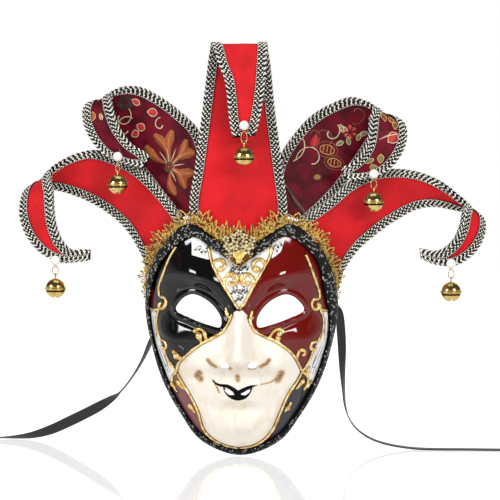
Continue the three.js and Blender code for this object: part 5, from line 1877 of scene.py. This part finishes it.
# %% Plate of the medallion
MEDALLION_HALF = [(0, 77), (6, 74), (9, 69.5), (15.5, 69), (15, 62.5), (13, 56), (9.5, 50), (0, 42.5)]
MEDALLION_MIDDLE_Z = 58.0
MEDALLION_BACK_Y = -61.2
MEDALLION_LEAN = 0.1
PLATE_CORNERS = 90
FILIGREE_FOOT_Z = 55.5
FILIGREE_SHADES = 0.3
FLOWER_RADIUS = 2.2
FLOWER_BEAD = (1.35, 0.9, 1.25)
FLOWER_STEP = 2.7
FOOT_ROW_BEAD = (1.25, 0.9, 1.25)
CURL_BEAD = (0.6, 0.6, 0.9)
BOSS_Z = 52.0
filigree_thread = thread_material("filigree_thread", rgb(150, 96, 24), rgb(255, 240, 186), 0.5,
                                  roughness=0.3, metallic=0.45)
filigree_ground = mottled("filigree_ground", (2.0,), rgb(30, 18, 8), rgb(70, 44, 16), roughness=0.5,
                          metallic=0.6)[0]


def on_medallion(x, z, forward):
    """Places on the leaning plate, forward of its back face."""
    up = np.asarray(z, float) - MEDALLION_MIDDLE_Z
    y = MEDALLION_BACK_Y - forward * math.cos(MEDALLION_LEAN) + up * math.sin(MEDALLION_LEAN)
    height = MEDALLION_MIDDLE_Z + up * math.cos(MEDALLION_LEAN) + forward * math.sin(MEDALLION_LEAN)
    return np.stack([np.asarray(x, float), y, height], axis=-1)


medallion_corners = MEDALLION_HALF + [(-x, z) for x, z in MEDALLION_HALF[-2:0:-1]]
medallion_outline = closed_outline(medallion_corners, PLATE_CORNERS)
plate_centre = np.array([0.0, 61.0])


def plate_ring(share):
    return plate_centre + (medallion_outline - plate_centre) * share


plate_rings = [(0.04, 1.3), (0.5, 1.3), (0.84, 1.1), (0.93, 0.8), (0.93, 0.1), (0.04, 0.1)]
plate_points = np.vstack([on_medallion(*plate_ring(share).T, forward) for share, forward in plate_rings])
plate_faces = outward_faces(plate_points, grid_faces(len(plate_rings), PLATE_CORNERS, True, True))
print("plate faces:", len(plate_faces))

# %% Beads of the medallion
beads = Stitches()
front = np.array([0.0, -math.cos(MEDALLION_LEAN), math.sin(MEDALLION_LEAN)])


def beaded_line(line, forward, size, tone, step):
    at, ahead = bead_places(on_medallion(line[:, 0], line[:, 1], forward), step, 3)
    shades = np.clip(tone + rng.normal(scale=FILIGREE_SHADES, size=len(at)), 0, 1)
    beads.add(at, ahead, np.tile(front, (len(at), 1)), np.array(size), shades)


def single_bead(x, z, size, tone):
    beads.add(on_medallion([x], [z], 2.3), np.array([[1.0, 0, 0]]), front[None], size, tone)


TINY_FLOWERS = [
    (0, 73, 0.9), (-5, 69.5, 0.9), (5.4, 69.5, 0.9), (-11.5, 67, 1.0), (11.8, 66.8, 1.0), (-4, 63, 1.25),
    (4.4, 63.2, 1.2), (-10, 61, 1.1), (10.2, 61, 1.1), (-6.3, 57, 1.1), (6.6, 57.2, 1.1),
    (0.2, 58.6, 1.1),
]
for x, z, size in TINY_FLOWERS:
    petals = oval_line(x, z, FLOWER_RADIUS * size, FLOWER_RADIUS * size, count=16)
    beaded_line(petals, 2.2, np.array(FLOWER_BEAD) * size, 0.95, FLOWER_STEP * size)
    single_bead(x, z, (0.9, 0.9, 0.8), 0.2)
single_bead(0.0, 67.5, (2.0, 1.6, 2.0), 0.35)
for share in (0.96, 0.8, 0.64):
    foot_line = plate_ring(share)
    foot_line = foot_line[foot_line[:, 1] < FILIGREE_FOOT_Z]
    foot_line = foot_line[np.argsort(foot_line[:, 0])]
    beaded_line(foot_line, 1.7, FOOT_ROW_BEAD, 0.3, FLOWER_STEP)
for side in (-1, 1):
    for x, z, turn in ((4.2, 63, 70), (11.5, 61.5, 60), (3.4, 70, 20)):
        curl = oval_line(side * x, z, 1.5, 2.3, side * turn, 18, 1.6 * math.pi)
        beaded_line(curl, 2.0, CURL_BEAD, 0.75, 1.5)
medallion_piece = stitched_piece("medallion_filigree", (plate_points, plate_faces), filigree_ground, beads,
                                 filigree_thread, sides=6, rings=4)
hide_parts("medallion")

# %% Boss
boss_gold, tree, shader = mottled("boss_gold", (2.5, 3.0, None, "Spread"), rgb(255, 232, 140),
                                  rgb(240, 200, 96), roughness=0.3, metallic=0.55)
bump(tree, shader, grain(tree, 1.2), 0.2, 0.0004)
BOSS_RADIUS = 5.0
BOSS_LOBES = 0.24
BOSS_CORNERS = 48
boss_turn = full_turn(BOSS_CORNERS)
boss_reach = BOSS_RADIUS * (1 + BOSS_LOBES * np.cos(3 * (boss_turn + math.pi / 2)))
boss_profile = [(1.0, 1.0), (1.0, 1.9), (0.86, 2.7), (0.6, 3.2), (0.52, 3.0), (0.3, 3.3), (0.05, 3.8)]
boss_ends = on_medallion([0.0, 0.0], [BOSS_Z, BOSS_Z], np.array([3.85, 0.9]))
boss_rings = []
for share, forward in boss_profile:
    ring_reach = boss_reach * share
    ring_z = BOSS_Z + ring_reach * np.sin(boss_turn)
    boss_rings.append(on_medallion(ring_reach * np.cos(boss_turn), ring_z, forward))
boss_points = np.vstack([*boss_rings, boss_ends])
boss_faces = [tuple(face) for face in grid_faces(len(boss_profile), BOSS_CORNERS, close_columns=True)]
tip = len(boss_points) - 2
top_ring = (len(boss_profile) - 1) * BOSS_CORNERS
for k in range(BOSS_CORNERS):
    j = (k + 1) % BOSS_CORNERS
    boss_faces += [(top_ring + k, top_ring + j, tip), (j, k, tip + 1)]
boss_piece = make_piece("medallion_boss", boss_points, boss_faces, [boss_gold])
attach(boss_piece, "root")
print("boss faces:", len(boss_faces))

# %% [markdown]
# ## Pearls, wire and bells
#
# A pearl is sewn near the tip of each horn, and a round brass bell hangs below it on bent wire. The bells are
# pressed from two cups that are rolled together at a belt. They are turned profiles, so numpy spins one
# profile round the upright axis, and a boolean cuts the sound slot through the bottom cup.

# %% Materials of the trinkets
pearl_nacre = mottled("pearl_nacre", (3.0, 2.0, None, "Spread"), rgb(250, 247, 240), rgb(236, 224, 214),
                      roughness=0.18, coat_weight=0.8, coat_roughness=0.08, sheen_weight=0.3)[0]
bell_brass, tree, shader = new_material("bell_brass", roughness=0.16, metallic=1.0)
tarnish = grain(tree, 5.0, 4.0, None, "Spread")
brass_colour = mix(tree, tarnish, rgb(238, 210, 138), rgb(214, 178, 104))
brass_colour = mix(tree, ramp(tree, attribute(tree, "seam"), 0.2, 0.8), brass_colour, rgb(84, 56, 18))
# A dark band is painted on the lower cup about 2.3 mm below the belt: painted shade of a slit that is not
# cut.
under_belt = calc(tree, "ABSOLUTE", calc(tree, "ADD", attribute(tree, "bell_height"), 2.3))
brass_colour = mix(tree, ramp(tree, under_belt, 0.95, 0.65), brass_colour, rgb(46, 28, 8))
tree.links.new(brass_colour, shader.inputs["Base Color"])
tree.links.new(ramp(tree, tarnish, 0.0, 1.0, 0.12, 0.24), shader.inputs["Roughness"])
link_wire = mottled("link_wire", (1.5,), rgb(214, 190, 150), rgb(168, 136, 84), roughness=0.25,
                    metallic=0.9)[0]
print("materials of the trinkets:", pearl_nacre.name, bell_brass.name, link_wire.name)

# %% Bell
PEARL_RADIUS = 4.3
LINK_WIRE = 0.5
LINK_HALF_WIDTH = 2.6
BELL_RADIUS = 9.0
BELL_WALL = 0.9
BELT_RADIUS = 9.9
BELT_HALF = 0.7
LOOP_RADIUS = 2.2
LOOP_WIRE = 0.6
LOOP_MIDDLE_Z = BELL_RADIUS + LOOP_RADIUS - LOOP_WIRE / 2
SLOT = {"half_wide": 0.9, "half_long": 6.5, "top": -5.5}
SLOT_CORNERS = 32
CUP_STEPS = 16
CUP_TURN = 0.13
CUP_LIP = {"share": 0.985, "height": 1.0}
BELT_ROLL = 0.12
BELL_SEGMENTS = 44
LOOP_STEPS = 40
LINK_STEPS = 60
PEARL_RINGS = 24
print("bell across in mm:", 2 * BELT_RADIUS)


# %% Turn and cut a bell
def turned(profile, inside_out=False):
    """A closed turned shape. The profile runs up from the axis to the axis as radius and height."""
    profile = np.asarray(profile, float)
    turn = full_turn(BELL_SEGMENTS)
    rings = np.stack([profile[1:-1, 0, None] * np.cos(turn), profile[1:-1, 0, None] * np.sin(turn),
                      np.repeat(profile[1:-1, 1, None], BELL_SEGMENTS, axis=1)], axis=-1)
    points = np.vstack([rings.reshape(-1, 3), [[0, 0, profile[0, 1]], [0, 0, profile[-1, 1]]]])
    count = len(profile) - 2
    faces = [tuple(face) for face in grid_faces(count, BELL_SEGMENTS, close_columns=True)]
    top = (count - 1) * BELL_SEGMENTS
    for k in range(BELL_SEGMENTS):
        j = (k + 1) % BELL_SEGMENTS
        faces.append((j, k, len(points) - 2))
        faces.append((top + k, top + j, len(points) - 1))
    return points, [face[::-1] for face in faces] if inside_out else faces


def cup_profile(radius, belt):
    angle = np.linspace(-math.pi / 2, -CUP_TURN, CUP_STEPS)
    lower = np.stack([radius * np.cos(angle), radius * np.sin(angle)], axis=1)
    lower[0, 0] = 0
    upper = lower[::-1] * [1, -1]
    if not belt:
        return np.vstack([lower, upper])
    lip = radius * CUP_LIP["share"]
    under_belt = [(lip, -CUP_LIP["height"]), (belt, -BELT_HALF)]
    over_belt = [(belt, BELT_HALF), (lip, CUP_LIP["height"])]
    return np.vstack([lower, under_belt, (belt + BELT_ROLL, 0), over_belt, upper])


def slot_cutter():
    """An upright prism that cuts the sound slot, a long oval that swells at its middle."""
    count = SLOT_CORNERS
    turn = full_turn(count)
    cosine = np.cos(turn)
    x = SLOT["half_wide"] * (cosine + 0.8 * np.sign(cosine) * np.abs(cosine) ** 4)
    y = SLOT["half_long"] * np.sin(turn)
    low = np.stack([x, y, np.full(count, -BELL_RADIUS - 2)], axis=1)
    high = low + [0, 0, BELL_RADIUS + 2 + SLOT["top"]]
    k = np.arange(count)
    sides = [(a, b, b + count, a + count) for a, b in zip(k, np.roll(k, -1))]
    return np.vstack([low, high]), sides + [tuple(k[::-1]), tuple(k + count)]


def bell_mesh():
    outside = turned(cup_profile(BELL_RADIUS, BELT_RADIUS))
    inside = turned(cup_profile(BELL_RADIUS - BELL_WALL, 0), True)
    bell = make_piece("bell_pattern", *join_parts([outside, inside]), [])
    cut_holes(bell, [slot_cutter()])
    points = mesh_points(bell)
    faces = [tuple(face.vertices) for face in bell.data.polygons]
    bpy.data.objects.remove(bell)
    turn = np.linspace(0, 2 * math.pi, LOOP_STEPS)
    loop_z = LOOP_MIDDLE_Z + LOOP_RADIUS * np.sin(turn)
    loop = np.stack([np.zeros(LOOP_STEPS), LOOP_RADIUS * np.cos(turn), loop_z], axis=1)
    guide = np.tile([1.0, 0.0, 0.0], (LOOP_STEPS, 1))
    return join_parts([(points, faces), tube_mesh(loop, np.full(LOOP_STEPS, LOOP_WIRE), 10, guide)])


bell_points, bell_faces = bell_mesh()
print("bell faces:", len(bell_faces))

# %% Where the bells hang
BELLS = [
    ("horn_left_red", 13.75, 0.95, BRAID_THICK + GAP, 8.0),
    ("horn_left_brocade", 11.5, 0.75, BRAID_THICK + GAP, 8.0),
    ("horn_centre", 11.3, 0.5, 0.0, 10.5),
    ("horn_right_brocade", 12.7, 0.85, BRAID_THICK + GAP, 8.0),
    ("horn_right_red", 13.2, 0.8, BRAID_THICK + GAP, 8.0),
]
NARROW_LINK = 2
print("bells:", len(BELLS))


# %% Pearls, links and how they are placed
def ball(radius):
    angle = np.linspace(-math.pi / 2, math.pi / 2, PEARL_RINGS)
    profile = np.stack([radius * np.cos(angle), radius * np.sin(angle)], axis=1)
    profile[[0, -1], 0] = 0
    return turned(profile)


def wire_link(height, spread):
    """A long ring of wire. A spread of one is an oval, and of none a narrow bail that widens downwards."""
    turn = np.linspace(0, 2 * math.pi, LINK_STEPS)
    up = height / 2 * np.sin(turn)
    wide = LINK_HALF_WIDTH * np.cos(turn) * (spread + (1 - spread) * (0.62 - 0.38 * np.sin(turn)))
    path = np.stack([wide, np.zeros(LINK_STEPS), up], axis=1)
    guide = np.tile([0.0, 1.0, 0.0], (LINK_STEPS, 1))
    return tube_mesh(path, np.full(LINK_STEPS, LINK_WIRE), 8, guide)


def trinket(name, node_name, shape, at, material):
    points, faces = shape
    piece = make_piece(name, points + at, faces, [material])
    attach(piece, "root")
    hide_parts(node_name)
    return piece


# %% Hang the bells
bell_height = bell_points[:, 2]
bell_reach = np.hypot(bell_points[:, 0], bell_points[:, 1])
beside_belt = np.abs(np.abs(bell_height) - CUP_LIP["height"]) < 0.06
bell_seam = (beside_belt & (bell_reach > BELL_RADIUS * 0.9)).astype(float)
for i, (horn, section, across, over, link) in enumerate(BELLS, start=1):
    strip = horn_strips[horn]
    proud = HORN_THICK / 2 + over + GAP + PEARL_RADIUS
    pearl_at = strip.point(np.array([section / strip.sections]), np.array([across]), np.array([-proud]))[0]
    link_at = pearl_at - [0, 0, PEARL_RADIUS + GAP + LINK_WIRE + link / 2]
    loop_z = link_at[2] - link / 2 - (LOOP_RADIUS - LOOP_WIRE - LINK_WIRE - GAP)
    bell_at = np.array([pearl_at[0], pearl_at[1], loop_z - LOOP_MIDDLE_Z])
    spread = 0.0 if i == NARROW_LINK else 1.0
    trinket(f"sewn_pearl_{i}", f"pearl_{i}", ball(PEARL_RADIUS), pearl_at, pearl_nacre)
    trinket(f"wire_link_{i}", f"bell_link_{i}", wire_link(link, spread), link_at, link_wire)
    bell = trinket(f"jingle_bell_{i}", f"bell_{i}", (bell_points, bell_faces), bell_at, bell_brass)
    store(bell.data, "seam", bell_seam)
    store(bell.data, "bell_height", bell_height)
    bell.data.set_sharp_from_angle(angle=math.radians(35))
    print("bell", i, "hangs at", np.round(bell_at).tolist())

# %% [markdown]
# ## Floor and light
#
# The mask stands on a pale, glossy floor. Two soft boxes, left and right of the camera, draw the bright bars
# on the brows and cheeks, and a front fill lights the face without a glint of its own. The room is light near
# the floor and dark above, and that is what makes glossy black look black: the forehead mirrors the dark, and
# the lids below the brows mirror the floor. The far side of the room is white, and the floor mirrors that.

# %% Floor
floor_white, tree, shader = mottled("floor_white", (120.0, 2.0), rgb(120, 120, 121), rgb(116, 116, 118),
                                    roughness=0.06, specular_ior_level=1.0)
shader.inputs["Emission Color"].default_value = (1.0, 1.0, 1.0, 1.0)
shader.inputs["Emission Strength"].default_value = 0.72
FLOOR_HALF = 2600.0
floor_corners = [(x * FLOOR_HALF, y * FLOOR_HALF, FLOOR_Z) for x, y in ((-1, -1), (1, -1), (1, 1), (-1, 1))]
floor = make_piece("floor", floor_corners, [(0, 1, 2, 3)], [floor_white], smooth=False)
print("floor at z in mm:", FLOOR_Z)

# %% Lights
LIGHTS = [
    ("left soft box", (-1288, -1031, 647), (0, -40, 20), (0.6, 0.3), 12.0),
    ("right soft box", (1016, -1303, 647), (0, -40, 20), (0.6, 0.3), 12.0),
    ("top", (0, 100, 1500), (0, 0, 0), (1.2, 1.2), 4.0),
    ("front fill", (0, -900, 1000), (0, -40, 40), (0.9, 0.9), 9.0),
]
NO_GLINT = ("front fill",)
for name, place, target, size, power in LIGHTS:
    light = bpy.data.lights.new(name, "AREA")
    light.shape = "RECTANGLE"
    light.size, light.size_y = size
    light.energy = power
    lamp = bpy.data.objects.new(name, light)
    lamp.location = Vector(place) * MM
    lamp.rotation_euler = (Vector(target) - Vector(place)).to_track_quat("-Z", "Y").to_euler()
    lamp.visible_glossy = name not in NO_GLINT
    bpy.context.scene.collection.objects.link(lamp)
print("lights:", len(LIGHTS))

# %% Room
ROOM_LOW = 0.5
ROOM_HIGH = 0.07
WALL_BEHIND = 1.0
world = bpy.data.worlds.new("studio")
world.use_nodes = True
tree = world.node_tree
room = tree.nodes["Background"]
room.inputs["Color"].default_value = (1.0, 1.0, 1.0, 1.0)
direction = node(tree, "ShaderNodeTexCoord").outputs["Generated"]
axes = node(tree, "ShaderNodeSeparateXYZ", {"Vector": direction}).outputs
room_light = ramp(tree, axes["Z"], 0.0, 0.25, ROOM_LOW, ROOM_HIGH)
wall_light = ramp(tree, axes["Y"], 0.5, 0.8, 0.0, WALL_BEHIND)
tree.links.new(calc(tree, "MAXIMUM", room_light, wall_light), room.inputs["Strength"])
backdrop = node(tree, "ShaderNodeBackground", {"Color": (1.0, 1.0, 1.0, 1.0), "Strength": 1.0})
seen = node(tree, "ShaderNodeLightPath").outputs["Is Camera Ray"]
both = node(tree, "ShaderNodeMixShader", {0: seen, 1: room.outputs[0], 2: backdrop.outputs[0]})
tree.links.new(both.outputs[0], tree.nodes["World Output"].inputs["Surface"])
bpy.context.scene.world = world
bpy.context.scene.view_settings.view_transform = "Standard"
print("room strengths:", ROOM_LOW, ROOM_HIGH, "wall:", WALL_BEHIND)
